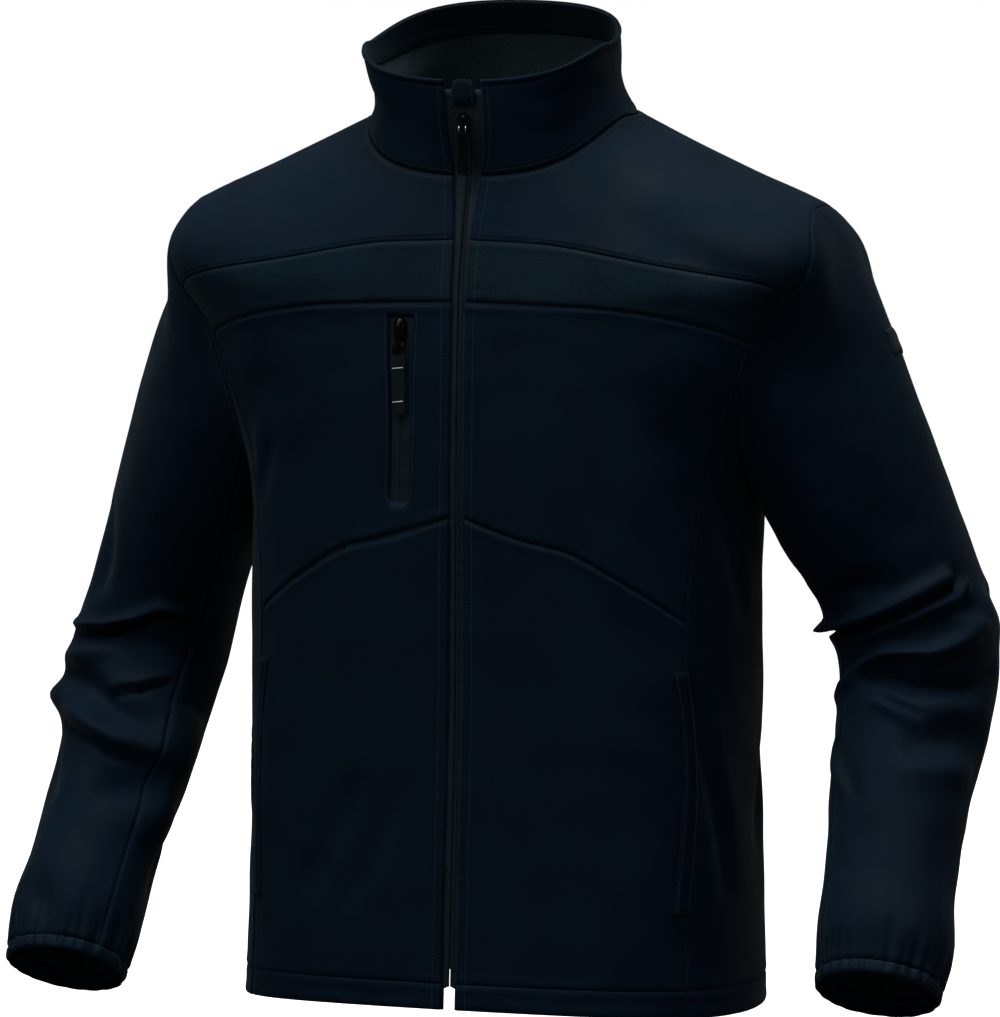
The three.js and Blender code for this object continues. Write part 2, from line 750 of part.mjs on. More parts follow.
function addBack() {
  const left = backSeam(1);
  const right = backSeam(-1);
  const level = left.above[0].height;
  const across = levelEdge(left.above[0].around, right.above[0].around, level, BACK_COLUMNS);
  across[0] = left.above[0];
  across[BACK_COLUMNS] = right.above[0];
  const top = [
    left.above[YOKE_ROWS],
    ...shoulder.slice(1, -1).reverse(),
    ...levelEdge(0.5, 1.5, 0, 2 * NECK_COLUMNS),
    ...shoulder.slice(1, -1).map((p) => ({ ...p, around: 1.5 })),
    right.above[YOKE_ROWS],
  ];
  const lower = patch(hemBack(HEM_LINE), right.below, across, left.below);
  const upper = patch(across, right.above, top, left.above);
  addMesh('back_panel', wallGeometry(stationsOf([...lower, ...upper.slice(1)])), CLOTH);
  addMesh('hem_back', wallGeometry(stationsOf([hemBack(HEM), hemBack(HEM_LINE)])), CLOTH);
}

// Places round the collar at one height, from the left zip edge round the back to the right one
function collarPlaces(height) {
  const start = zipPlace(height).around;
  const left = levelEdge(start, 0.5, height, NECK_COLUMNS);
  const back = levelEdge(0.5, 1.5, height, 2 * NECK_COLUMNS);
  const right = levelEdge(1.5, 2 - start, height, NECK_COLUMNS);
  return [...left, ...back.slice(1), ...right.slice(1)];
}

function addCollar() {
  const facingDepth = 24;
  const facingThick = 1;
  const low = COLLAR_TOP - facingDepth;
  const collar = [0, 25, low, COLLAR_TOP].map(collarPlaces);
  addMesh('collar', wallGeometry(stationsOf(collar)), CLOTH);
  const facing = stationsOf([low, COLLAR_TOP].map(collarPlaces));
  for (const row of facing) {
    row[0].point.lerp(row[1].point, FACING_START);
    row[row.length - 1].point.lerp(row[row.length - 2].point, FACING_START);
  }
  const placed = { thick: facingThick, lift: -WALL - SEAM, gap: 1 };
  addMesh('collar_facing', wallGeometry(facing, placed), FACING_CLOTH);
}

// The sample angles of the sleeve, the same as the armhole's, from one angle on to another
const SLEEVE_ANGLES = [
  ...steps(0, ARMHOLE_FRONT, YOKE_ROWS),
  ...steps(ARMHOLE_FRONT, 360 - ARMHOLE_FRONT, SIDE_COLUMNS).slice(1),
  ...steps(360 - ARMHOLE_FRONT, 360, YOKE_ROWS).slice(1, -1),
];

function anglesBetween(from, to) {
  const twice = [...SLEEVE_ANGLES, ...SLEEVE_ANGLES.map((angle) => angle + 360)];
  return twice.filter((angle) => angle > from - 1 && angle < to + 1);
}

function withMiddles(values) {
  return values.flatMap((value, i) => (i ? [(values[i - 1] + value) / 2, value] : [value]));
}

// Depth of the gathers at the cuff: they alternate from one sample to the next and are uneven
function gather(angle, index, row) {
  const share = [0.45, 1, 0.6][row];
  const uneven = 0.75 + 0.25 * Math.sin(angle * 0.31);
  return (index % 2 ? -1 : 0.35) * GATHER_DEPTH * share * uneven;
}

function addSleeve(side) {
  const name = side > 0 ? 'left' : 'right';
  const pieces = {
    sleeve_top: anglesBetween(ELBOW_SEAM, 360 + INNER_SEAM),
    sleeve_under: anglesBetween(INNER_SEAM, ELBOW_SEAM),
  };
  for (const [piece, angles] of Object.entries(pieces)) {
    const cap = SLEEVE_ROWS.map((along) =>
      angles.map((angle) => sleeveStation(side, angle, along)),
    );
    cap[0] = cap[0].map((sewn, i) => ({
      ...sewn,
      point: sewn.point.clone().lerp(cap[1][i].point, ARMHOLE_EASE),
    }));
    const gathers = GATHER_ROWS.map((along, row) =>
      withMiddles(angles).map((angle, i) =>
        sleeveStation(side, angle, along, gather(angle % 360, i, row)),
      ),
    );
    const gap = piece === 'sleeve_under' ? UNDER_GAP : SEAM / 2;
    addMesh(piece + '_' + name, wallGeometry([...cap, ...gathers], { gap }), CLOTH);
  }
  const binding = BINDING.map(({ down, lift }) =>
    withMiddles([...SLEEVE_ANGLES, 360])
      .slice(0, -1)
      .map((angle) => {
        const s = sleeveStation(side, angle, SLEEVE_END, lift);
        s.point.addScaledVector(FOREARM, down);
        return s;
      }),
  );
  addMesh(
    'cuff_binding_' + name,
    wallGeometry(binding, { thick: 2, gap: 0, ring: true }),
    FACING_CLOTH,
  );
}

// The front zip: two tapes behind the front edges, the closed coil, and at the collar the slider
// with its pull tab, under a folded tab of cloth
function addFrontZip() {
  const tapeHeights = [HEM, NOTCH, NOTCH + 2, ...ZIP_ROWS, 30, 50, 66];
  for (const side of [1, -1]) {
    const rows = tapeHeights.map((height) => {
      const inner = height > NOTCH ? TAPE_START : NOTCH_HALF;
      return [inner, ZIP_TAPE].map((x) => centrePlace(side * x, height));
    });
    const tape = wallGeometry(stationsOf(rows), { thick: TAPE_THICK, lift: TAPE_UNDER });
    addMesh(side > 0 ? 'zip_tape_left' : 'zip_tape_right', tape, TAPE);
  }
  const coil = [NOTCH + 8, ...ZIP_ROWS, SLIDER_AT - COIL_SHORT].map((height) =>
    [-COIL_HALF, COIL_HALF].map((x) => centrePlace(x, height)),
  );
  const coilWall = wallGeometry(stationsOf(coil), { thick: COIL_THICK, lift: COIL_UNDER });
  addMesh('zip_coil', coilWall, COIL);

  const garage = stationsOf(
    GARAGE.map(({ height, half }) =>
      steps(-half, half, GARAGE_BULGE.length - 1).map((x) => centrePlace(x, height)),
    ),
  );
  for (const row of garage) {
    row.forEach((s, i) => s.point.addScaledVector(s.normal, GARAGE_BULGE[i]));
  }
  addMesh('zip_garage', wallGeometry(garage, { thick: GARAGE_THICK }), CLOTH);

  const seat = seatOn(centrePlace(0, SLIDER_AT), FRONT_SEAT);
  addMesh('zip_slider', sliderGeometry(FRONT_SLIDER).applyMatrix4(seat), SLIDER);
  addMesh('zip_pull', pullGeometry(FRONT_PULL).applyMatrix4(hangAt(seat, FRONT_SLIDER)), PULLER);
}

// A frame on the sheet at one place: x across, y up along the cloth, z out, with its origin sunk by
// the lift
function seatOn(place, lift) {
  const { point, normal } = station(place.around, place.height);
  const up = new THREE.Vector3(0, 0, 1).addScaledVector(normal, -normal.z).normalize();
  const across = up.clone().cross(normal);
  const origin = point.clone().addScaledVector(normal, lift);
  return new THREE.Matrix4().makeBasis(across, up, normal).setPosition(origin);
}

// The frame of a pull at rest: on the hinge of the slider, with y straight up
function hangAt(seat, slider) {
  const hinge = new THREE.Vector3(0, slider.hingeUp, slider.hingeOut).applyMatrix4(seat);
  const across = new THREE.Vector3().setFromMatrixColumn(seat, 0);
  const up = new THREE.Vector3(0, 0, 1);
  return new THREE.Matrix4().makeBasis(across, up, across.clone().cross(up)).setPosition(hinge);
}

function boxAt(size, centre) {
  return new THREE.BoxGeometry(...size).translate(...centre);
}

function barAlongX(radius, length) {
  return new THREE.CylinderGeometry(radius, radius, length, 10).rotateZ(Math.PI / 2);
}

// A slider: a body with chamfered ends, a domed top and a loop whose hole lies along x
function sliderGeometry({ width, length, thick, dome, hingeUp, hingeOut }) {
  const right = SLIDER_OUTLINE.map(([x, y]) => new THREE.Vector2(x * width, y * length));
  const left = right.map(({ x, y }) => new THREE.Vector2(-x, y)).reverse();
  const outline = new THREE.Shape([...right, ...left]);
  const body = new THREE.ExtrudeGeometry(outline, { depth: thick, bevelEnabled: false });
  const top = new THREE.SphereGeometry(1, 14, 10)
    .scale(dome.half, dome.reach, dome.rise)
    .translate(0, dome.up, thick - DOME_SUNK);
  const loopOut = hingeOut + LOOP.half + LOOP.wall;
  const loopUp = 2 * (LOOP.reach + LOOP.wall);
  const loopCentre = (loopOut + LOOP.sunk) / 2;
  const loop = boxAt([LOOP.width, loopUp, loopOut - LOOP.sunk], [0, hingeUp, loopCentre]);
  const through = 4 * LOOP.width;
  const hole = boxAt([through, 2 * LOOP.reach, 2 * LOOP.half], [0, hingeUp, hingeOut]);
  return cut(join(body, top, loop), hole);
}

// A pull: a round bar in the slider's loop, two legs and a flat tab, hanging along -y
function pullGeometry({ width, length, thick, eyeHalf, eyeReach }) {
  const legWidth = (width - 2 * eyeHalf) / 2;
  const legX = (width - legWidth) / 2;
  const legY = (PIN - eyeReach) / 2;
  const legs = [-legX, legX].map((x) =>
    boxAt([legWidth, eyeReach + PIN, thick], [x, legY, 0]),
  );
  const corner = width * 0.3;
  const soften = corner * 0.3;
  const right = [
    new THREE.Vector2(width / 2 - corner, -length),
    new THREE.Vector2(width / 2 - soften, soften - length),
    new THREE.Vector2(width / 2, corner - length),
    new THREE.Vector2(width / 2, -eyeReach),
  ];
  const left = right.map(({ x, y }) => new THREE.Vector2(-x, y)).reverse();
  const outline = new THREE.Shape([...right, ...left]);
  const tab = new THREE.ExtrudeGeometry(outline, { depth: thick, bevelEnabled: false });
  tab.translate(0, 0, -thick / 2);
  return join(barAlongX(PIN, width - 0.4), ...legs, tab);
}

function pocketSlot() {
  const rows = steps(POCKET_END, POCKET_TOP, 6).map((height, i) => {
    const half = i === 0 ? SLOT_HALF * 0.6 : SLOT_HALF;
    return [-half, half].map((x) => pocketPlace(x, height));
  });
  return wallGeometry(stationsOf(rows), { lift: 2 * WALL, thick: 6 * WALL, gap: 0 });
}

function pocketPlace(x, height) {
  return { around: smooth(POCKET_LINE, height).around + centrePlace(x, height).around, height };
}

// The chest pocket's zip on the wearer's right: a smooth tape behind the slot, its slider at the top
// of the slot and a strap for a puller
function addChestPocket() {
  const rows = steps(POCKET_END - 8, POCKET_TOP + 9, 7).map((height) =>
    [-CHEST_TAPE_HALF, CHEST_TAPE_HALF].map((x) => pocketPlace(x, height)),
  );
  const tape = wallGeometry(stationsOf(rows), { thick: TAPE_THICK, lift: CHEST_TAPE_UNDER });
  addMesh('chest_zip_tape', tape, TAPE);
  const seat = seatOn(pocketPlace(0, CHEST_SLIDER_AT), CHEST_SEAT);
  addMesh('chest_zip_slider', sliderGeometry(CHEST_SLIDER).applyMatrix4(seat), SLIDER);
  addMesh('chest_zip_pull', pullGeometry(CHEST_PULL).applyMatrix4(hangAt(seat, CHEST_SLIDER)), PULLER);
}

function between(a, b, t) {
  return {
    point: a.point.clone().lerp(b.point, t),
    normal: a.normal.clone().lerp(b.normal, t).normalize(),
    reach: lerp(a.reach, b.reach, t),
  };
}

// Welts of the hand pockets, on the outer facets of the lower fronts
function addWelts() {
  for (const name of ['left', 'right']) {
    const sheet = panelStations['lower_front_' + name].slice(WELT_ROWS.first, WELT_ROWS.end);
    const rows = sheet.map((row) => {
      const [inner, outer] = row.slice(-2);
      return [between(inner, outer, 0.1), outer];
    });
    addMesh('hand_pocket_welt_' + name, wallGeometry(rows, { thick: 1.1, lift: 1.5 }), WELT_CLOTH);
  }
}

// A small folded label on the outside of the left upper sleeve
function addLabel() {
  const angles = SLEEVE_ANGLES.slice(-2).concat([360, 360 + SLEEVE_ANGLES[1]]);
  const [above, below] = LABEL_BETWEEN.map((along) =>
    angles.map((angle) => sleeveStation(1, angle, along)),
  );
  above[3] = between(above[2], above[3], 0.5);
  below[3] = between(below[2], below[3], 0.5);
  const rows = [0.4, 0.9].map((t) => above.map((s, i) => between(s, below[i], t)));
  addMesh('sleeve_label', wallGeometry(rows, { thick: 1, lift: 1.25, gap: 0 }), WELT_CLOTH);
}

addFronts(1);
addFronts(-1);
addBack();
addCollar();
addSleeve(1);
addSleeve(-1);
addFrontZip();
addChestPocket();
addWelts();
addLabel();

export default jacket;
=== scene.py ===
"""Softshell jacket: the cloth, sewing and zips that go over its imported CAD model.

The row frame is in metres, with +X to the wearer's left, the zip towards -Y and +Z up. The forms
below are worked out in millimetres, in the same way as the model's own source.
"""

import math

import bmesh
import bpy
import numpy as np
from mathutils import Matrix, Vector


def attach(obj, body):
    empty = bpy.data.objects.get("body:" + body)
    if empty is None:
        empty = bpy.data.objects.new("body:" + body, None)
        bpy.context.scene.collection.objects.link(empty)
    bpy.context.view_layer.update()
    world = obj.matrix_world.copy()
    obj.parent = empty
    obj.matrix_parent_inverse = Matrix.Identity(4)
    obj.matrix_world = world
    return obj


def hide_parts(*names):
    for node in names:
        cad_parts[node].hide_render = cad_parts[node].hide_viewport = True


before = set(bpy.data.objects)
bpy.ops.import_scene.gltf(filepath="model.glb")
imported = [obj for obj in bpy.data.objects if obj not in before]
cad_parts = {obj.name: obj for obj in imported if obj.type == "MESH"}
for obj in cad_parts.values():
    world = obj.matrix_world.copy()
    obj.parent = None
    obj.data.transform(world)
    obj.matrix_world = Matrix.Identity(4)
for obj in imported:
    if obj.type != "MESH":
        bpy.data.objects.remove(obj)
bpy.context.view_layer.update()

bl_info = {
    "name": "Softshell Jacket",
    "version": (1, 0, 0),
    "blender": (4, 5, 0),
    "location": "View3D > Sidebar > Jacket",
    "description": "Cloth, sewing and zips of a man's softshell jacket",
    "category": "Object",
}

MM = 0.001

HEM = -694
HEM_DEPTH = 22
HEM_LINE = HEM + HEM_DEPTH
SHOULDER = -69
ARMPIT = -290
COLLAR_TOP = 74
COLLAR_RADIUS = 95
BODY_RADIUS = 173.5  # mean radius of the body, to place creases round it
SLEEVE_GIRTH = 430
SLEEVE_END = 560
SQUARE = 0.05
BACK_SEAM = 0.72
ARMHOLE_FRONT = 66
SLEEVE_FADE = 90
INNER_SEAM = 142
ELBOW_SEAM = 256
POCKET_TOP = -158
POCKET_END = -316
SLOT_HALF = 5.6
GARAGE_HALF = 7.5
CURVE_END = -387  # where the curved seam meets the princess seam
BAND_END = -177  # where the lower edge of the chest band does
NECK_SHARE = 0.6  # share of a front yoke's top edge that lies along the neck
BACK_NECK = (0.2, 0.8)  # the same of the back panel, from share to share
WALL = 1.6  # how deep under the cloth's face its backing lies, for what is sewn behind it

# height, half width, depth and height at the side, the front centre and the back centre, and how
# evenly the ring rises from its sides to the back
BODY = np.array([
    (HEM, 206, 0, HEM, -140, -686, 133, -700),
    (-600, 204, 0, -600, -134, -600, 128, -600),
    (-450, 203, 0, -450, -124, -450, 118, -450),
    (-330, 203, 0, -330, -122, -318, 124, -325),
    (ARMPIT, 205, 2, ARMPIT, -121, -255, 127, -260),
    (-180, 243, 4, -180, -117, -165, 130, -165),
    (SHOULDER, 255, 6, SHOULDER, -111, -112, 122, -92),
    (-36, 188, 2, -39, -104, -82, 104, -45),
    (0, 103, -5, 0, -94, -46, 70, 8),
], float)
BODY = np.column_stack([BODY, np.zeros(len(BODY))])
COLLAR = np.array([
    (0, 103, -5, 0, -94, -46, 70, 8, 0),
    (22, 95, -15, 17, -98, -24, 60, 33, 0.15),
    (50, 97, -28, 38, -103, 4, 46, 63, 0.35),
    (COLLAR_TOP, 99.5, -39, 56.5, -106, 28, 33, 88, 0.5),
], float)
# angle from the shoulder tip over the front, place round the body, height
ARMHOLE = np.array([
    (0, 0.5, SHOULDER),
    (22, 0.43, -72),
    (44, 0.374, -90),
    (66, 0.343, -134),
    (90, 0.334, -181),
    (123, 0.35, -237),
    (152, 0.42, -277),
    (180, 0.5, ARMPIT),
], float)
PRINCESS = np.array([
    (HEM, 0.299),
    (-616, 0.303),
    (-539, 0.317),
    (-495, 0.32),
    (-450, 0.31),
    (-424, 0.298),
    (-387, 0.295),
    (-341, 0.307),
    (-281, 0.328),
    (-223, 0.325),
    (-177, 0.323),
    (-134, 0.343),
], float)
# share of the way from the zip to the princess seam, height
LOWER_SEAM = np.array([(0, -323), (0.2, -333), (0.4, -340), (0.63, -357), (1, -387)], float)
BAND_BOTTOM = np.array([(0, -127), (0.3, -137), (0.65, -159), (1, -177)], float)
BAND_TOP = np.array([(0, -49), (0.25, -56), (0.5, -81), (0.75, -109), (1, -134)], float)
# height, half width of the gap that the zip fills
ZIP_GAP = np.array(
    [(HEM, 6), (-400, 6), (-100, 6), (-40, 7), (0, 11), (30, 15), (COLLAR_TOP, 15)], float)
# distance from the armhole, outer line, inner line, half depth front and back, tilt
SLEEVE = np.array([
    (0, 255, 6, SHOULDER, 205, 3, ARMPIT, 66, 70, 0),
    (25, 269, 18, -88, 207, 9, -297, 66, 72, -1),
    (50, 282, 25, -120, 209, 14, -306, 68, 72, -3),
    (90, 302, 31, -168, 214, 22, -320, 70, 73, -6),
    (140, 325, 39, -233, 224, 34, -343, 71, 73, -8),
    (200, 350, 52, -308, 240, 50, -373, 70, 72, -8),
    (260, 372, 60, -375, 253, 58, -407, 67, 71, -3),
    (310, 383, 54, -424, 259, 52, -440, 64, 69, 12),
    (360, 382, 32, -468, 263, 30, -474, 61, 61, 25),
    (420, 376, -6, -522, 268, -8, -524, 56, 55, 31),
    (490, 378, -50, -586, 276, -52, -586, 52, 52, 31),
    (535, 384, -79, -628, 279, -81, -628, 53, 53, 31),
    (SLEEVE_END, 380, -93, -650, 283, -95, -650, 48, 48, 31),
], float)
# distance from the armhole, how far the arm is moved out, back and up
LEFT_POSE = np.array([(0, 0, 0, 0), (300, 0, 0, 0), (SLEEVE_END, 0, 0, -4)], float)
RIGHT_POSE = np.array(
    [(0, 0, 0, 0), (240, 0, 0, 0), (360, 4, 0, -7), (SLEEVE_END, 5, 0, -19)], float)
FOREARM = np.array([0, -math.sin(math.pi * 0.172), -math.cos(math.pi * 0.172)])

# Creases of the body. kind, half width, depth, then the line as places round and heights.
# The wearer's right is below 0. A fold is a roll of cloth with a sharp valley beside it, and the
# roll lies to the left of the line's way.
BODY_CREASES = [
    ("trough", 13, 6, (0.3125, -438), (0.345, -493), (0.3813, -548), (0.3975, -595)),
    ("ridge", 12, 3.5, (0.335, -430), (0.362, -490), (0.405, -540)),
    ("trough", 11, 4.5, (-0.1713, -599), (-0.1375, -552), (-0.11, -512)),
    ("trough", 10, 3.2, (-0.1125, -607), (-0.085, -557), (-0.0575, -513)),
    ("ridge", 10, 2.4, (-0.2675, -261), (-0.2937, -283), (-0.31, -300)),
    ("trough", 9, 2.6, (-0.245, -275), (-0.2937, -306)),
    ("trough", 18, 4, (0.1963, -46), (0.2038, -68), (0.2275, -91), (0.27, -118)),
    ("trough", 14, 5, (-0.4, -470), (-0.37, -520), (-0.34, -560)),
    ("ridge", 12, 3, (-0.43, -455), (-0.39, -540)),
    ("trough", 16, 6, (0.62, -480), (0.57, -530), (0.52, -560)),
    ("trough", 16, 5, (-0.62, -500), (-0.57, -540), (-0.52, -570)),
    ("trough", 20, 5, (0.82, -190), (0.76, -250), (0.72, -330)),
    ("trough", 20, 5, (-0.82, -200), (-0.77, -260), (-0.73, -340)),
    ("trough", 15, 4, (0.9, -440), (0.8, -500), (0.72, -520)),
    ("trough", 15, 4.5, (-0.92, -420), (-0.82, -480), (-0.74, -500)),
    ("trough", 14, 3.5, (0.97, -560), (0.85, -590), (0.76, -600)),
    ("ridge", 22, 3, (0.9, -150), (1.0, -165), (1.1, -150)),
    ("trough", 13, 3, (0.36, -300), (0.42, -345), (0.45, -380)),
    ("trough", 13, 3, (-0.37, -305), (-0.42, -350), (-0.46, -380)),
]
COLLAR_CREASES = [
    ("trough", 8, 1.6, (0.155, 52), (0.255, 50), (0.4125, 38)),
    ("trough", 9, 1.5, (-0.2, 30), (-0.42, 44)),
    ("trough", 10, 1.6, (0.62, 40), (0.85, 30)),
    ("trough", 9, 1.4, (-0.6, 24), (-0.8, 40)),
]
# Creases of the sleeves, the same with angles and distances from the armhole
LEFT_CREASES = [
    ("fold", 9, 7, (349, 262), (33, 241), (60, 244), (92, 249), (131, 262)),
    ("trough", 11, 6, (133, 205), (106, 206), (84, 214)),
    ("ridge", 9, 2.2, (46, 262), (32, 276)),
    ("trough", 6, 2.6, (32, 254), (13, 274)),
    ("ridge", 11, 5.5, (157, 338), (124, 317), (99, 294), (67, 303), (40, 290), (8, 262)),
    ("trough", 12, 6.5, (121, 320), (79, 342), (35, 340), (5, 318)),
    ("fold", 7, 3.4, (66, 376), (85, 367), (108, 352)),
    ("trough", 17, 6.5, (70, 396), (41, 386), (8, 374)),
    ("ridge", 11, 3, (76, 418), (52, 414), (14, 404)),
    ("ridge", 8, 3, (156, 388), (138, 414), (122, 436)),
    ("trough", 8, 3, (146, 386), (130, 414), (112, 440)),
    ("fold", 10, 6, (250, 262), (290, 250), (330, 258)),
    ("trough", 13, 5, (300, 330), (250, 345), (215, 352)),
    ("ridge", 12, 4, (310, 300), (262, 312), (222, 322)),
    ("trough", 15, 4, (318, 180), (290, 215), (262, 240)),
    ("trough", 12, 4, (232, 400), (205, 440), (190, 470)),
    ("trough", 13, 3, (334, 440), (312, 480)),
    ("ridge", 15, 3.5, (335, 276), (362, 277), (400, 287)),
    ("ridge", 22, 3, (150, 242), (190, 258)),
]
RIGHT_CREASES = [
    ("fold", 9, 8, (140, 262), (112, 262), (99, 282), (80, 304), (54, 311), (22, 309)),
    ("ridge", 12, 4.5, (26, 334), (58, 338), (84, 330)),
    ("fold", 7, 3.6, (138, 350), (114, 368), (86, 376)),
    ("ridge", 11, 6, (28, 372), (60, 388), (92, 411), (141, 414)),
    ("trough", 11, 6, (40, 352), (68, 366), (100, 390), (126, 398)),
    ("fold", 8, 3.6, (140, 424), (104, 424), (78, 412), (46, 396)),
    ("trough", 15, 4.5, (150, 438), (120, 448), (100, 452)),
    ("trough", 13, 4, (18, 392), (34, 430), (48, 452)),
    ("trough", 14, 4, (52, 520), (75, 532), (92, 540)),
    ("trough", 15, 5, (30, 205), (44, 236), (50, 262)),
    ("fold", 10, 6, (330, 300), (290, 285), (250, 292)),
    ("ridge", 12, 4, (316, 330), (270, 345), (226, 350)),
    ("trough", 13, 5, (318, 372), (262, 384), (220, 380)),
    ("trough", 15, 4, (322, 190), (296, 225), (264, 252)),
    ("trough", 12, 4, (230, 420), (204, 460), (190, 500)),
    ("trough", 30, 5.5, (-50, 38), (0, 38), (50, 42)),
    ("ridge", 28, 7, (165, 378), (160, 430)),
    ("ridge", 24, 5, (165, 436), (166, 474)),
    ("ridge", 13, 5, (2, 360), (45, 374)),
]


def smooth(rows, x):
    """The other columns of a table at values of its first column, smooth through the rows."""
    x = np.asarray(x, float)
    keys, values = rows[:, 0], rows[:, 1:]
    gaps = np.diff(keys)[:, None]
    rise = np.diff(values, axis=0) / gaps
    inner = (rise[:-1] * gaps[1:] + rise[1:] * gaps[:-1]) / (gaps[:-1] + gaps[1:])
    slopes = np.vstack([rise[:1], inner, rise[-1:]])
    i = np.clip(np.searchsorted(keys, x, side="left") - 1, 0, len(keys) - 2)
    span = gaps[i]
    t = np.clip((x - keys[i])[..., None] / span, 0, 1)
    return (
        values[i] * (1 + 2 * t) * (1 - t) ** 2
        + slopes[i] * span * t * (1 - t) ** 2
        + values[i + 1] * t * t * (3 - 2 * t)
        + slopes[i + 1] * span * t * t * (t - 1)
    )


def unit(v):
    return v / np.maximum(np.linalg.norm(v, axis=-1, keepdims=True), 1e-9)


def ring_point(rings, around, height):
    half, side_y, side_z, front_y, front_z, back_y, back_z, straight = np.moveaxis(
        smooth(rings, height), -1, 0)
    turn = math.pi * np.asarray(around, float)
    across = (np.sin(turn) + SQUARE * np.sin(3 * turn)) / (1 - SQUARE)
    fore = (np.cos(turn) - SQUARE * np.cos(3 * turn)) / (1 - SQUARE)
    end_y = np.where(fore > 0, front_y, back_y)
    end_z = np.where(fore > 0, front_z, back_z)
    y = side_y + (end_y - side_y) * np.abs(fore)
    straight = np.where(fore > 0, 0, straight)
    z = side_z + (end_z - side_z) * (fore * fore * (1 - straight) + np.abs(fore) * straight)
    return np.stack([half * across, y, z], axis=-1)


def ring_normal(rings, around, height):
    around, height = np.broadcast_arrays(np.asarray(around, float), np.asarray(height, float))
    low = np.maximum(height - 2, rings[0, 0])
    high = np.minimum(height + 2, rings[-1, 0])
    rise = ring_point(rings, around, high) - ring_point(rings, around, low)
    run = ring_point(rings, around + 0.002, height) - ring_point(rings, around - 0.002, height)
    return unit(np.cross(run, rise))


def crease_sum(creases, x, y):
    """How far the creases move the cloth out at points of its flat development, in mm. Troughs
    and ridges still have some depth at their ends, and folds fade to nothing there."""
    total = np.zeros(np.broadcast(x, y).shape)
    for kind, width, depth, *line in creases:
        pts = np.array(line, float)
        lengths = np.linalg.norm(np.diff(pts, axis=0), axis=1)
        start = np.concatenate([[0], np.cumsum(lengths)])
        best = np.full(total.shape, np.inf)
        side = np.zeros(total.shape)
        share = np.zeros(total.shape)
        for a, b, s0, length in zip(pts[:-1], pts[1:], start[:-1], lengths):
            run = (b - a) / length
            along = (x - a[0]) * run[0] + (y - a[1]) * run[1]
            across = (x - a[0]) * -run[1] + (y - a[1]) * run[0]
            on = np.clip(along, 0, length)
            away = np.hypot(along - on, across)
            nearer = away < best
            best = np.where(nearer, away, best)
            side = np.where(nearer, np.sign(across), side)
            share = np.where(nearer, (s0 + along) / start[-1], share)
        taper = np.sin(math.pi * np.clip(0.15 + 0.7 * share, 0.02, 0.98))
        away = best / width
        if kind == "trough":
            form = -np.exp(-away * away)
        elif kind == "ridge":
            form = np.exp(-away * away)
        else:
            taper = np.sin(math.pi * np.clip(share, 0, 1)) ** 0.7
            d = away * side
            form = 0.9 * np.exp(-((d - 0.9) / 0.75) ** 2) - np.exp(-((d + 0.15) / 0.38) ** 2)
        total += depth * taper * form
    return total


def ripple(points, size, seed):
    """A gentle unevenness, from -1 to 1, over points in mm."""
    rng = np.random.default_rng(seed)
    total = np.zeros(points.shape[:-1])
    for _ in range(9):
        way = unit(rng.normal(size=3))
        total += np.sin(points @ way * (2 * math.pi / (size * rng.uniform(0.6, 1.6)))
                        + rng.uniform(0, 6.28))
    return total / 5


def placed(creases, radius):
    """Creases with their places round a ring turned into mm."""
    return [(k, w, d, *[(a * math.pi * radius, h) for a, h in line])
            for k, w, d, *line in creases]


def body_relief(around, height):
    total = np.zeros(np.broadcast(around, height).shape)
    for turn in (-2, 0, 2):
        x = (np.asarray(around) + turn) * math.pi * BODY_RADIUS
        if x.min() < 700 and x.max() > -700:
            total += crease_sum(placed(BODY_CREASES, BODY_RADIUS), x, height)
    turn = math.pi * np.asarray(around, float)
    drum = np.stack([BODY_RADIUS * np.sin(turn), BODY_RADIUS * np.cos(turn),
                     np.asarray(height, float)], axis=-1)
    return total + 0.9 * ripple(drum, 150, 3) + 0.35 * ripple(drum, 55, 8)


def body_station(around, height):
    """The cloth's outer face at places of the body, and the way out of it."""
    around, height = np.broadcast_arrays(np.asarray(around, float), np.asarray(height, float))
    normal = ring_normal(BODY, around, height)
    relief = body_relief(around, height)
    return ring_point(BODY, around, height) + normal * relief[..., None], normal


def armhole_place(angle):
    angle = np.mod(angle, 360)
    front = angle <= 180
    place = smooth(ARMHOLE, np.where(front, angle, 360 - angle))
    return np.where(front, place[..., 0], 1 - place[..., 0]), place[..., 1]


def sleeve_oval(angle, along):
    s = smooth(SLEEVE, along)
    turn, tilt = np.radians(angle), np.radians(s[..., 8])
    depth = np.where(np.sin(turn) > 0, s[..., 6], s[..., 7]) * np.sin(turn)
    mid = (0.5 + 0.5 * np.cos(turn))[..., None]
    tip = np.stack([np.zeros_like(tilt), -np.cos(tilt), np.sin(tilt)], axis=-1)
    return s[..., 3:6] * (1 - mid) + s[..., 0:3] * mid + tip * depth[..., None]


def sleeve_form(angle, along):
    around, height = armhole_place(angle)
    offset = ring_point(BODY, around, height) - sleeve_oval(angle, np.zeros_like(angle))
    t = np.clip(along / SLEEVE_FADE, 0, 1)
    keep = 1 - t * t * (3 - 2 * t)
    return sleeve_oval(angle, along) + offset * keep[..., None]


def sleeve_normal(angle, along):
    low, high = np.maximum(along - 2, 0), np.minimum(along + 2, SLEEVE_END)
    down = sleeve_form(angle, high) - sleeve_form(angle, low)
    run = sleeve_form(angle + 1, along) - sleeve_form(angle - 1, along)
    return unit(np.cross(run, down))


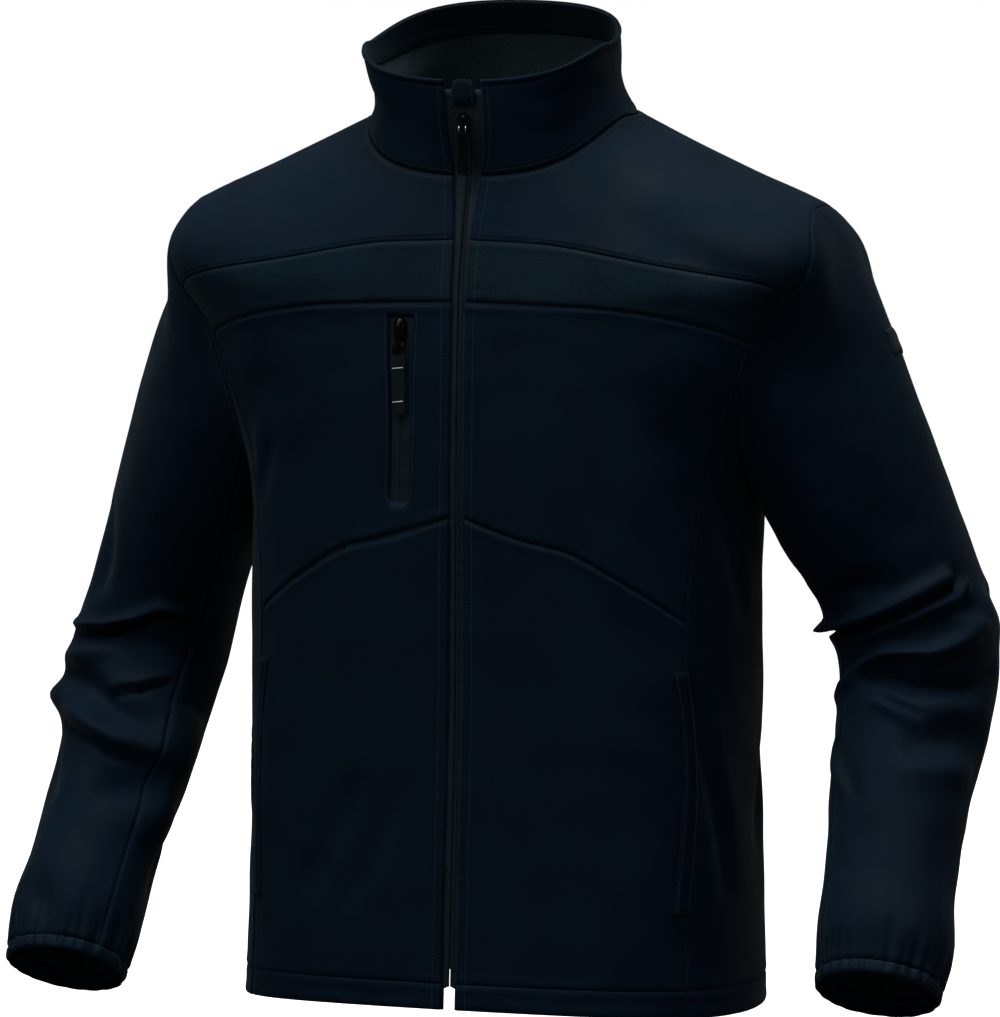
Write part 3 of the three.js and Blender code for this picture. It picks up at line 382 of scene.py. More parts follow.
def sleeve_relief(side, angle, along):
    x = np.mod(angle, 360) * SLEEVE_GIRTH / 360
    total = np.zeros(x.shape)
    creases = LEFT_CREASES if side > 0 else RIGHT_CREASES
    for turn in (-1, 0, 1):
        total += crease_sum(
            [(k, w, d, *[((a + 360 * turn) * SLEEVE_GIRTH / 360, s) for a, s in line])
             for k, w, d, *line in creases], x, along)
    radius = SLEEVE_GIRTH / (2 * math.pi)
    turn = np.radians(angle)
    drum = np.stack([radius * np.sin(turn), radius * np.cos(turn), along], axis=-1)
    seed = 20 if side > 0 else 30
    fade = np.clip(along / 40, 0, 1)  # the sleeve's first row stays on the body
    total *= 1 + (sizes().folds - 1) * np.clip((along - 60) / 120, 0, 1)
    return (total + 0.9 * ripple(drum, 110, seed) + 0.35 * ripple(drum, 40, seed + 1)) * fade


def sleeve_station(side, angle, along, lift=0.0):
    """The same for a sleeve. Its first row is sewn to the body."""
    angle, along = np.broadcast_arrays(np.asarray(angle, float), np.asarray(along, float))
    normal = sleeve_normal(angle, along)
    relief = sleeve_relief(side, angle, along) + lift
    around, height = armhole_place(angle)
    near = np.clip(1 - along / 60, 0, 1) ** 2
    sewn = body_relief(side * around, height) * near
    pose = smooth(LEFT_POSE if side > 0 else RIGHT_POSE, along)
    point = sleeve_form(angle, along) + normal * relief[..., None] + pose
    flip = np.array([side, 1, 1])
    return (point * flip + ring_normal(BODY, side * around, height) * sewn[..., None],
            normal * flip)


def centre_place(x, height, rings=BODY):
    half = smooth(rings, height)[..., 0]
    return x * (1 - SQUARE) / (math.pi * half * (1 + 3 * SQUARE))


def zip_place(height, rings=BODY):
    return centre_place(smooth(ZIP_GAP, height)[..., 0], height, rings)


def along_edge(around, height):
    around, height = np.broadcast_arrays(np.asarray(around, float), np.asarray(height, float))
    return np.stack([around, height], axis=-1)


def armhole_edge(angles):
    return along_edge(*armhole_place(angles))


def front_seam(rows, end, share):
    start = float(zip_place(np.array(rows[0, 1])))
    end_around, end_height = end
    height = smooth(rows, share)[..., 0]
    height = height + (end_height - height[-1]) * share ** 8
    return along_edge(start + (end_around - start) * share, height)


def princess_edge(height):
    return along_edge(smooth(PRINCESS, height)[..., 0], height)


def back_seam(height):
    end_around, end_height = armhole_place(np.array(360.0 - ARMHOLE_FRONT))
    t = (height - HEM_LINE) / (end_height - HEM_LINE)
    return along_edge(BACK_SEAM + (end_around - BACK_SEAM) * np.clip(t, 0, 1) ** 20, height)


def patch(bottom, right, top, left):
    """Fills the space between four edges of places: bottom and top run left to right, the
    sides run up."""
    s = np.linspace(0, 1, len(bottom)) if bottom.shape[1] == 2 else bottom[:, 2]
    t = np.linspace(0, 1, len(left)) if left.shape[1] == 2 else left[:, 2]
    bottom, right, top, left = (e[:, :2] for e in (bottom, right, top, left))
    s, t = s[None, :, None], t[:, None, None]
    corners = (1 - t) * ((1 - s) * bottom[0] + s * bottom[-1]) \
        + t * ((1 - s) * top[0] + s * top[-1])
    return ((1 - t) * bottom[None] + t * top[None]
            + (1 - s) * left[:, None] + s * right[:, None] - corners)


def shares(length, step=4.5, fine=1.3, reach=9):
    """Shares from 0 to 1 of an edge of that length, closer together near both ends."""
    reach = min(reach, length / 2)
    ends = np.arange(0, reach, fine)
    middle = np.linspace(reach, length - reach, max(2, int((length - 2 * reach) / step) + 1))
    return np.unique(np.round(np.concatenate([ends, middle, length - ends]), 4)) / length


def with_share(edge, share):
    return np.column_stack([edge, share])


def surface_normals(points, outward):
    """Normals of a grid of points, on the same side as the given ones."""
    run = np.gradient(points, axis=1)
    rise = np.gradient(points, axis=0)
    normal = unit(np.cross(run, rise))
    sign = np.sign(np.sum(normal * outward, axis=-1, keepdims=True))
    return normal * np.where(sign == 0, 1, sign)


def arc(points, axis):
    """Distance along the grid lines from the start and from the end of an axis, in mm."""
    step = np.linalg.norm(np.diff(points, axis=axis), axis=-1)
    total = np.cumsum(step, axis=axis)
    first = np.zeros_like(np.take(total, [0], axis=axis))
    start = np.concatenate([first, total], axis=axis)
    return start, np.take(start, [-1], axis=axis) - start


SEWING = []  # lines of stitches: points, normals, pitch


def edge_distances(points):
    left, right = arc(points, 1)
    bottom, top = arc(points, 0)
    return {"left": left, "right": right, "bottom": bottom, "top": top}


def line_at(points, normals, distances, edge, offset, margin):
    """The line over a sheet at an even distance from one of its edges."""
    away = distances[edge]
    if edge in ("left", "right"):
        grids = [points, normals, away] + [distances[e] for e in ("bottom", "top")]
    else:
        grids = [np.swapaxes(g, 0, 1) for g in
                 [points, normals, away] + [distances[e] for e in ("left", "right")]]
    p, n, away, one, other = grids
    if edge in ("right", "top"):
        p, n, away, one, other = (g[:, ::-1] for g in (p, n, away, one, other))
    made = []
    for row in range(p.shape[0]):
        i = int(np.searchsorted(away[row], offset))
        if i <= 0 or i >= p.shape[1]:
            continue
        if min(one[row, i], other[row, i]) < margin:
            continue
        t = (offset - away[row, i - 1]) / max(away[row, i] - away[row, i - 1], 1e-6)
        made.append((p[row, i - 1] * (1 - t) + p[row, i] * t, n[row, i]))
    if len(made) < 3:
        return None
    return np.array([m[0] for m in made]), np.array([m[1] for m in made])


def sew(points, normals, pitch=2.5):
    SEWING.append((np.asarray(points), np.asarray(normals), pitch))


def relieve(points, normals, seams, stitches, puckers):
    """Presses the sewn edges and the stitch lines of a sheet into it, and puckers it beside
    them. seams gives the depth and width of each edge's dip, and a line of stitches is its edge,
    its distance from there and how far it stops from the other edges."""
    distances = edge_distances(points)
    lift = np.zeros(points.shape[:2])
    near = np.full(points.shape[:2], 1e3)
    for edge, (depth, width) in seams.items():
        away = distances[edge]
        lift -= depth * np.exp(-((away / width) ** 2))
        lift += 0.3 * np.exp(-(((away - 4.5) / 3) ** 2))
        near = np.minimum(near, away)
    for edge, offset, _ in stitches:
        away = np.abs(distances[edge] - offset)
        lift -= 0.45 * np.exp(-((away / 1.0) ** 2))
        near = np.minimum(near, away)
    lift += puckers * ripple(points, 13, 5) * np.exp(-((near / 7) ** 2))
    moved = points + normals * lift[..., None]
    shown = surface_normals(moved, normals)
    for edge, offset, margin in stitches:
        line = line_at(moved, shown, distances, edge, offset, margin)
        if line:
            sew(*line)
    return moved


def grid_piece(name, points, outward, materials, thick, ring=False, hole=None):
    """A sheet of cloth: a grid whose vertices are put in place, with its own UV map in metres,
    and a wall on its inner side. hole gives the rows and columns that are cut out."""
    rows, columns = points.shape[:2]
    across, _ = arc(points, 1)
    up, _ = arc(points, 0)
    flat = points.reshape(-1, 3) * MM
    bm = bmesh.new()
    bmesh.ops.create_grid(bm, x_segments=columns - 1, y_segments=rows - 1, size=1)
    if len(bm.verts) != rows * columns:
        raise RuntimeError(f"{name}: the grid has {len(bm.verts)} vertices")
    bm.verts.ensure_lookup_table()
    for vert, place in zip(bm.verts, flat):
        vert.co = place
    layer = bm.loops.layers.uv.new("cut")
    uv = (np.stack([across, up], axis=-1).reshape(-1, 2) * MM).tolist()
    for face in bm.faces:
        face.smooth = True
        for loop in face.loops:
            loop[layer].uv = uv[loop.vert.index]
    bm.normal_update()
    bm.faces.ensure_lookup_table()
    middle = bm.faces[len(bm.faces) // 3]
    aim = outward.reshape(-1, 3)[middle.verts[0].index]
    if hole:
        (low, high), (first, last) = hole
        cut = [f for f in bm.faces
               if all(low <= v.index // columns <= high and first <= v.index % columns <= last
                      for v in f.verts)]
    if middle.normal.dot(Vector(aim)) < 0:
        bmesh.ops.reverse_faces(bm, faces=bm.faces)
    if hole:
        bmesh.ops.delete(bm, geom=cut, context="FACES")
    if ring:
        bmesh.ops.remove_doubles(bm, verts=bm.verts, dist=1e-5)
    return mesh_piece(name, bm, materials, thick)


def mesh_piece(name, bm, materials, thick=0.0):
    mesh = bpy.data.meshes.new(name)
    bm.to_mesh(mesh)
    bm.free()
    for material in materials:
        mesh.materials.append(material)
    piece = bpy.data.objects.new(name, mesh)
    bpy.context.scene.collection.objects.link(piece)
    if thick:
        wall = piece.modifiers.new("Wall", "SOLIDIFY")
        wall.thickness = thick * MM
        wall.offset = -1
        wall.material_offset = len(materials) - 1
        wall.use_quality_normals = True
    return piece


def cloth(name, points, outward, materials, thick, nodes, body="jacket",
          ring=False, hole=None):
    """A cloth piece: its sheet, fixed to its body, with the CAD parts that it stands for hidden."""
    piece = grid_piece(name, points, outward, materials, thick, ring, hole)
    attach(piece, body)
    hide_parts(*nodes)


# Materials


def new_material(name):
    made = bpy.data.materials.new(name)
    made.use_nodes = True
    nodes, links = made.node_tree.nodes, made.node_tree.links
    return made, nodes, links, nodes["Principled BSDF"]


def effect_group(name, inputs, outputs):
    group = bpy.data.node_groups.new(name, "ShaderNodeTree")
    for socket, kind, value in inputs:
        made = group.interface.new_socket(socket, in_out="INPUT", socket_type=kind)
        made.default_value = value
    for socket, kind in outputs:
        group.interface.new_socket(socket, in_out="OUTPUT", socket_type=kind)
    nodes = group.nodes
    return group, nodes.new("NodeGroupInput"), nodes.new("NodeGroupOutput")


def math_node(nodes, links, operation, *values):
    node = nodes.new("ShaderNodeMath")
    node.operation = operation
    for socket, value in zip(node.inputs, values):
        if isinstance(value, (int, float)):
            socket.default_value = value
        else:
            links.new(value, socket)
    return node.outputs[0]


def weave_group():
    """Crossed threads on the cut's UV map with fine grain, as a height, and slow patches."""
    group, into, out = effect_group(
        "thread_weave",
        [("Threads", "NodeSocketFloat", 1800.0), ("Grain", "NodeSocketFloat", 900.0),
         ("Mottle", "NodeSocketFloat", 22.0)],
        [("Height", "NodeSocketFloat"), ("Patch", "NodeSocketFloat")],
    )
    nodes, links = group.nodes, group.links
    uv = nodes.new("ShaderNodeUVMap")
    uv.uv_map = "cut"
    split = nodes.new("ShaderNodeSeparateXYZ")
    links.new(uv.outputs[0], split.inputs[0])
    waves = []
    for axis in (0, 1):
        turned = math_node(nodes, links, "MULTIPLY", split.outputs[axis], into.outputs["Threads"])
        turned = math_node(nodes, links, "MULTIPLY", turned, 6.2832)
        waves.append(math_node(nodes, links, "SINE", turned))
    crossed = math_node(nodes, links, "MULTIPLY", waves[0], waves[1])
    noise = nodes.new("ShaderNodeTexNoise")
    links.new(uv.outputs[0], noise.inputs["Vector"])
    links.new(into.outputs["Grain"], noise.inputs["Scale"])
    noise.inputs["Detail"].default_value = 3
    patch = nodes.new("ShaderNodeTexNoise")
    place = nodes.new("ShaderNodeTexCoord")
    links.new(place.outputs["Object"], patch.inputs["Vector"])
    links.new(into.outputs["Mottle"], patch.inputs["Scale"])
    patch.inputs["Detail"].default_value = 4
    height = math_node(nodes, links, "ADD", math_node(nodes, links, "MULTIPLY", crossed, 0.3),
                       noise.outputs["Fac"])
    links.new(height, out.inputs["Height"])
    links.new(patch.outputs["Fac"], out.inputs["Patch"])
    return group


def mix_colour(nodes, links, factor, low, high):
    mix = nodes.new("ShaderNodeMix")
    mix.data_type = "RGBA"
    links.new(factor, mix.inputs["Factor"])
    mix.inputs["A"].default_value = (*low, 1)
    mix.inputs["B"].default_value = (*high, 1)
    return mix.outputs["Result"]


def remap(nodes, links, value, low, high, to_low, to_high):
    node = nodes.new("ShaderNodeMapRange")
    links.new(value, node.inputs["Value"])
    for socket, number in zip(("From Min", "From Max", "To Min", "To Max"),
                              (low, high, to_low, to_high)):
        node.inputs[socket].default_value = number
    return node.outputs["Result"]


CLOTH_TINT = (0.72, 1.0, 0.92, 1)  # of the cloth's gloss and sheen
CLOTH_SPECULAR = 0.085


def cloth_material(name, colour, light=1.5, threads=1800, grain=900, mottle=22, bump=0.4,
                   depth=0.0003, rough=(0.55, 0.75), sheen=0.035, sheen_rough=0.35):
    """Woven cloth. light is how much lighter its lightest threads are than its colour."""
    found = bpy.data.materials.get(name)
    if found:
        return found
    made, nodes, links, shader = new_material(name)
    weave = nodes.new("ShaderNodeGroup")
    weave.node_tree = bpy.data.node_groups.get("thread_weave") or weave_group()
    weave.inputs["Threads"].default_value = threads
    weave.inputs["Grain"].default_value = grain
    weave.inputs["Mottle"].default_value = mottle
    low = tuple(c * part for c, part in zip(colour, (0.4, 0.34, 0.5)))
    high = tuple(c * light * part for c, part in zip(colour, (1.3, 1.4, 1.15)))
    blend = math_node(nodes, links, "MULTIPLY_ADD", weave.outputs["Height"], 0.6,
                      math_node(nodes, links, "MULTIPLY", weave.outputs["Patch"], 0.4))
    links.new(mix_colour(nodes, links, remap(nodes, links, blend, 0.34, 0.66, 0, 1), low, high),
              shader.inputs["Base Color"])
    links.new(remap(nodes, links, weave.outputs["Patch"], 0.35, 0.65, *rough),
              shader.inputs["Roughness"])
    raised = nodes.new("ShaderNodeBump")
    raised.inputs["Strength"].default_value = bump
    raised.inputs["Distance"].default_value = depth
    links.new(weave.outputs["Height"], raised.inputs["Height"])
    links.new(raised.outputs["Normal"], shader.inputs["Normal"])
    shader.inputs["Specular IOR Level"].default_value = CLOTH_SPECULAR
    shader.inputs["Specular Tint"].default_value = CLOTH_TINT
    shader.inputs["Sheen Weight"].default_value = sheen
    shader.inputs["Sheen Roughness"].default_value = sheen_rough
    shader.inputs["Sheen Tint"].default_value = CLOTH_TINT
    return made


def hard_material(name, colour, rough, metallic=0.0, specular=0.5, scale=900):
    """Moulded or painted: a faint orange peel and handling marks in its roughness."""
    found = bpy.data.materials.get(name)
    if found:
        return found
    made, nodes, links, shader = new_material(name)
    place = nodes.new("ShaderNodeTexCoord")
    noise = nodes.new("ShaderNodeTexNoise")
    links.new(place.outputs["Object"], noise.inputs["Vector"])
    noise.inputs["Scale"].default_value = scale
    noise.inputs["Detail"].default_value = 3
    marks = nodes.new("ShaderNodeTexNoise")
    links.new(place.outputs["Object"], marks.inputs["Vector"])
    marks.inputs["Scale"].default_value = 220
    links.new(remap(nodes, links, marks.outputs["Fac"], 0.35, 0.7, rough * 0.75, rough * 1.35),
              shader.inputs["Roughness"])
    low = tuple(c * 0.85 for c in colour)
    high = tuple(c * 1.25 for c in colour)
    links.new(mix_colour(nodes, links, marks.outputs["Fac"], low, high),
              shader.inputs["Base Color"])
    raised = nodes.new("ShaderNodeBump")
    raised.inputs["Strength"].default_value = 0.08
    raised.inputs["Distance"].default_value = 0.0001
    links.new(noise.outputs["Fac"], raised.inputs["Height"])
    links.new(raised.outputs["Normal"], shader.inputs["Normal"])
    shader.inputs["Metallic"].default_value = metallic
    shader.inputs["Specular IOR Level"].default_value = specular
    return made


def colours():
    return bpy.context.scene.jacket_colours


def sizes():
    return bpy.context.scene.jacket_sizes


def shell():
    return cloth_material("woven_shell", tuple(colours().shell))


def band_cloth():
    return cloth_material("woven_band", tuple(colours().band), light=1.7, threads=900, grain=620,
                          bump=0.6, depth=0.0004, sheen=0.05)


def fleece():
    return cloth_material("fleece_back", tuple(colours().fleece), light=1.6, threads=2400,
                          grain=700, mottle=16, bump=0.6, depth=0.0006, rough=(0.9, 1.0),
                          sheen=0.08, sheen_rough=0.5)


def facing_cloth():
    return cloth_material("woven_facing", tuple(colours().facing), threads=1200, bump=0.2)


def tape_cloth():
    return cloth_material("woven_tape", tuple(colours().tape), threads=700, grain=400, bump=0.35)


def strap_cloth():
    return cloth_material("woven_strap", tuple(colours().strap), threads=900, grain=500, bump=0.5)


def welt_cloth():
    return cloth_material("woven_welt", tuple(colours().welt), threads=1500, bump=0.15)


def label_cloth():
    return cloth_material("woven_label", tuple(colours().label), threads=1000, bump=0.3)


# Cloth pieces

# Depth and width of the dip along an edge
SEWN = (1.1, 1.5)
FOLDED = (0.5, 1.2)


def edges(left=None, right=None, bottom=None, top=None):
    """The dips of a sheet's edges. An edge without one is left out."""
    given = {"left": left, "right": right, "bottom": bottom, "top": top}
    return {edge: dip for edge, dip in given.items() if dip}


def mirrored_places(grid, side):
    return grid * np.array([side, 1])


def side_name(side):
    return "left" if side > 0 else "right"


def mitred(points, normals, rows, columns, angles, side):
    """Turns the normals of an armhole edge half way to the sleeve's, so both cloths dip into
    one seam."""
    sleeve = sleeve_normal(np.asarray(angles, float), np.zeros(len(angles)))
    normals[rows, columns] = unit(normals[rows, columns] + sleeve * np.array([side, 1, 1]))


def panel(name, places, seams, stitches, materials, nodes, armhole=None):
    """A panel of the body from a grid of places. armhole gives the edge that is sewn to a
    sleeve: its rows, columns, angles and side."""
    points, normals = body_station(places[..., 0], places[..., 1])
    for edge in armhole or ():
        mitred(points, normals, *edge)
    moved = relieve(points, normals, seams, stitches, sizes().pucker)
    return cloth(name, moved, normals, materials, sizes().cloth_wall, nodes)


# Extra columns beside the chest pocket, as shares of the way from the zip to the princess seam
POCKET_COLUMNS = np.concatenate([np.linspace(0.06, 0.125, 8), np.linspace(0.165, 0.23, 8)])


def front_grids(side):
    """Places of the pieces of one front, and the angles of the yoke's armhole edge."""
    s = np.unique(np.append(shares(200), NECK_SHARE))
    if side < 0:
        s = np.unique(np.concatenate([s, POCKET_COLUMNS]))
    seam_low = front_seam(LOWER_SEAM, (float(smooth(PRINCESS, CURVE_END)[0]), CURVE_END), s)
    band_low = front_seam(BAND_BOTTOM, (float(smooth(PRINCESS, BAND_END)[0]), BAND_END), s)
    arm_around, arm_height = armhole_place(np.array(float(ARMHOLE_FRONT)))
    band_high = front_seam(BAND_TOP, (float(arm_around), float(arm_height)), s)

    def level(height):
        start = float(zip_place(np.array(float(height))))
        end = float(smooth(PRINCESS, height)[0])
        return along_edge(start + (end - start) * s, np.full(len(s), float(height)))

    def between(low, high, length, right=None):
        t = shares(length)
        left = low[0, 1] + (high[0, 1] - low[0, 1]) * t
        rise = low[-1, 1] + (high[-1, 1] - low[-1, 1]) * t
        return patch(with_share(low, s), with_share(princess_edge(rise), t) if right is None
                     else right(t), with_share(high, s),
                     with_share(along_edge(zip_place(left), left), t))

    neck_start = float(zip_place(np.array(0.0)))
    neck = np.clip(s / NECK_SHARE, 0, 1)
    slope = np.clip((s - NECK_SHARE) / (1 - NECK_SHARE), 0, 1)
    top = along_edge(neck_start + (0.5 - neck_start) * neck, SHOULDER * slope)
    angles = ARMHOLE_FRONT * (1 - shares(130))
    grids = {
        "front_yoke": between(band_high, top, 130, lambda t: with_share(armhole_edge(angles), t)),
        "chest_band": between(band_low, band_high, 75),
        "chest_panel": between(seam_low, band_low, 200),
        "lower_front": between(level(HEM_LINE), seam_low, 340),
        "hem_front": between(level(HEM), level(HEM_LINE), HEM_DEPTH),
    }
    return grids, angles


def build_fronts():
    zip_line = ("left", 7.5, 0.5)
    for side in (1, -1):
        name = side_name(side)
        grids, angles = front_grids(side)
        plans = {
            "front_yoke": (edges(FOLDED, SEWN, SEWN, SEWN),
                           [zip_line, ("bottom", 2.6, 1), ("top", 3, 1)], shell()),
            "chest_band": (edges(FOLDED, SEWN, SEWN, SEWN), [zip_line], band_cloth()),
            "chest_panel": (edges(FOLDED, SEWN, SEWN, SEWN), [zip_line, ("top", 2.6, 1)],
                            shell()),
            "lower_front": (edges(FOLDED, SEWN, FOLDED, SEWN), [zip_line, ("top", 2.6, 1)],
                            shell()),
            "hem_front": (edges(FOLDED, SEWN, FOLDED, FOLDED), [zip_line], shell()),
        }
        for piece, (seams, stitches, look) in plans.items():
            places = mirrored_places(grids[piece], side)
            rows = len(places)
            sewn = [(np.arange(rows), -1, angles, side)] if piece == "front_yoke" else None
            if piece == "chest_panel" and side < 0:
                build_pocket_panel(places, seams, stitches, look)
                continue
            panel(f"{piece}_cloth_{name}", places, seams, stitches, [look, fleece()],
                  [f"{piece}_{name}"], sewn)


def pull_to(values, targets):
    """Shifts a rising row of values evenly so that the ones at the given indexes land on their
    targets, with both ends kept."""
    fixed = [0, *targets, len(values) - 1]
    return np.interp(values, values[fixed], [values[0], *targets.values(), values[-1]])


def pocket_around(height):
    """Where the slot of the chest pocket is, on the wearer's right."""
    return np.interp(height, [POCKET_END, POCKET_TOP], [-0.0627, -0.049])


def slot_places(places):
    """Shifts the grid of a chest panel so that its lines follow the pocket's slot. Gives the
    rows and columns of the slot."""
    around, height = places[..., 0].copy(), places[..., 1].copy()
    column = int(np.argmin(np.abs(around[len(around) // 2] + pocket_around(-237))))
    rows = [int(np.argmin(np.abs(height[:, column] - h))) for h in (POCKET_END, POCKET_TOP)]
    middle = sum(rows) // 2
    half = SLOT_HALF / (math.pi * BODY_RADIUS)
    ends = np.array([-half, half])
    sides = ends - pocket_around(height[middle, column])
    columns = [int(np.argmin(np.abs(around[middle] - a))) for a in sides]
    for i in range(len(around)):
        sides = ends - pocket_around(height[i, column])
        around[i] = pull_to(around[i], dict(zip(columns, sides)))
    away = np.abs(around[middle] + pocket_around(height[middle, column]))
    for j, near in enumerate(np.clip(1.2 - away / 0.06, 0, 1)):
        if near > 0:
            pulled = pull_to(height[:, j], dict(zip(rows, (POCKET_END, POCKET_TOP))))
            height[:, j] += near * (pulled - height[:, j])
    return np.stack([around, height], axis=-1), rows, columns


def build_pocket_panel(places, seams, stitches, look):
    """The right chest panel, with the pocket's slot cut out and stitched all round."""
    places, rows, columns = slot_places(places * np.array([-1, 1]))
    around, height = -places[..., 0], places[..., 1]
    points, normals = body_station(around, height)
    x = (pocket_around(height) - around) * math.pi * BODY_RADIUS
    past = np.maximum(POCKET_END - height, height - POCKET_TOP)
    away = np.hypot(np.maximum(np.abs(x) - SLOT_HALF, 0), np.maximum(past, 0))
    lips = -0.9 * np.exp(-((away / 0.9) ** 2)) - 0.3 * np.exp(-(((away - 2.2) / 0.8) ** 2))
    on_garage = (height > POCKET_TOP) & (np.abs(x) < GARAGE_HALF)
    lips = np.where(on_garage, -0.5 * np.exp(-(((height - POCKET_TOP) / 1.2) ** 2)), lips)
    points = points + normals * lips[..., None]
    moved = relieve(points, normals, seams, stitches, sizes().pucker)
    cloth("chest_panel_cloth_right", moved, normals, [look, fleece()], sizes().cloth_wall,
          ["chest_panel_right"], hole=(rows, columns))
    half = SLOT_HALF + 2.2
    low, high = POCKET_END - 2, POCKET_TOP + 22
    bend = np.linspace(0, math.pi, 9)[1:-1]
    line = np.array([(half, high), (half, low + 5)]
                    + [(half * math.cos(b), low + 5 - 5 * math.sin(b)) for b in bend]
                    + [(-half, low + 5), (-half, high)])
    t = np.linspace(0, len(line) - 1, 150)
    x = np.interp(t, range(len(line)), line[:, 0])
    h = np.interp(t, range(len(line)), line[:, 1])
    seam, out = body_station(pocket_around(h) - x / (math.pi * BODY_RADIUS), h)
    sew(seam - out * 0.2, out, pitch=2.2)
    for end in (-1, 1):
        x = end * np.linspace(GARAGE_HALF, GARAGE_HALF - 1.5, 20)
        h = np.linspace(POCKET_TOP, POCKET_TOP + 26, 20)
        seam, out = body_station(pocket_around(h) - x / (math.pi * BODY_RADIUS), h)
        sew(seam, out, pitch=2.2)


def keep_in_sliver(places):
    """Keeps the grid of a side panel between its princess seam and the armhole, where it is only
    a few millimetres wide."""
    angles = np.linspace(180, ARMHOLE_FRONT, 120)
    around, height = armhole_place(angles)
    arm = np.interp(places[..., 1], height, around)
    seam = smooth(PRINCESS, places[..., 1])[..., 0]
    rows, columns = np.indices(arm.shape)
    step = 0.008 * (arm - seam)
    lowest = seam + step * np.minimum(columns + 1, 22)
    highest = arm - step * np.minimum(arm.shape[0] - rows, 22)
    highest = np.where(places[..., 1] > ARMPIT + 10, highest, 0.5)
    kept = np.clip(places[..., 0], lowest, highest)
    places[..., 0] = np.where(places[..., 0] < 0.5, kept, places[..., 0])


def hem_rows():
    return HEM + HEM_DEPTH * shares(HEM_DEPTH)


def build_sides_and_back():
    s = shares(190)
    t = shares(560)
    knots = np.array([0, 9 / 17, 15 / 17, 1])
    front = np.interp(t, knots, [HEM_LINE, CURVE_END, BAND_END, PRINCESS[-1, 0]])
    seam_end = float(armhole_place(np.array(360.0 - ARMHOLE_FRONT))[1])
    rear = HEM_LINE + (seam_end - HEM_LINE) * t
    angles = ARMHOLE_FRONT + (360 - 2 * ARMHOLE_FRONT) * s

    def level(height, share=s):
        start = float(smooth(PRINCESS, height)[0])
        return along_edge(start + (BACK_SEAM - start) * share, np.full(len(share), float(height)))

    side_places = patch(with_share(level(HEM_LINE), s), with_share(back_seam(rear), t),
                        with_share(armhole_edge(angles), s), with_share(princess_edge(front), t))
    keep_in_sliver(side_places[1:-1, 1:-1])
    hem_places = np.stack([level(h) for h in hem_rows()])
    for side in (1, -1):
        name = side_name(side)
        panel(f"side_panel_cloth_{name}", mirrored_places(side_places, side),
              edges(SEWN, SEWN, FOLDED, SEWN), [], [shell(), fleece()], [f"side_panel_{name}"],
              [(-1, np.arange(len(s)), angles, side)])
        panel(f"hem_side_cloth_{name}", mirrored_places(hem_places, side),
              edges(SEWN, SEWN, FOLDED, FOLDED), [], [shell(), fleece()], [f"hem_side_{name}"])
    build_back(t, rear)


def build_back(t, rear):
    s = np.unique(np.concatenate([shares(400), BACK_NECK]))
    up = shares(140)
    seam = back_seam(rear)
    angles = 360 - ARMHOLE_FRONT + ARMHOLE_FRONT * up
    arm = armhole_edge(angles)
    other = np.array([-1, 1])
    shift = np.array([2, 0])
    across = along_edge(arm[0, 0] + (2 - 2 * arm[0, 0]) * s, np.full(len(s), arm[0, 1]))
    hem = along_edge(BACK_SEAM + (2 - 2 * BACK_SEAM) * s, np.full(len(s), float(HEM_LINE)))
    first, last = BACK_NECK
    neck = np.clip((s - first) / (last - first), 0, 1)
    slope = np.clip(np.maximum(first - s, s - last) / first, 0, 1)
    top = along_edge(0.5 + neck, SHOULDER * slope)
    lower = patch(with_share(hem, s), with_share(seam * other + shift, t),
                  with_share(across, s), with_share(seam, t))
    upper = patch(with_share(across, s), with_share(arm * other + shift, up),
                  with_share(top, s), with_share(arm, up))
    places = np.concatenate([lower, upper[1:]])
    rows = np.arange(len(t) - 1, len(places))
    panel("back_panel_cloth", places, edges(SEWN, SEWN, FOLDED, SEWN), [("top", 3, 1)],
          [shell(), fleece()], ["back_panel"],
          [(rows, 0, angles, 1), (rows, -1, angles, -1)])
    hem_places = np.stack([along_edge(hem[:, 0], np.full(len(s), h)) for h in hem_rows()])
    panel("hem_back_cloth", hem_places, edges(SEWN, SEWN, FOLDED, FOLDED), [],
          [shell(), fleece()], ["hem_back"])


def collar_grid(heights, s, cut=0.0):
    start = zip_place(heights, COLLAR)[:, None] + cut
    around = start + (2 - 2 * start) * s
    height = np.broadcast_to(heights[:, None], around.shape)
    return (ring_point(COLLAR, around, height), ring_normal(COLLAR, around, height), around,
            height)


def collar_relief(around, height):
    turned = np.mod(around + 1, 2) - 1
    x = turned * math.pi * COLLAR_RADIUS
    turn = math.pi * around
    drum = np.stack([COLLAR_RADIUS * np.sin(turn), COLLAR_RADIUS * np.cos(turn), height], axis=-1)
    creases = placed(COLLAR_CREASES, COLLAR_RADIUS)
    return crease_sum(creases, x, height) + 0.5 * ripple(drum, 70, 61)


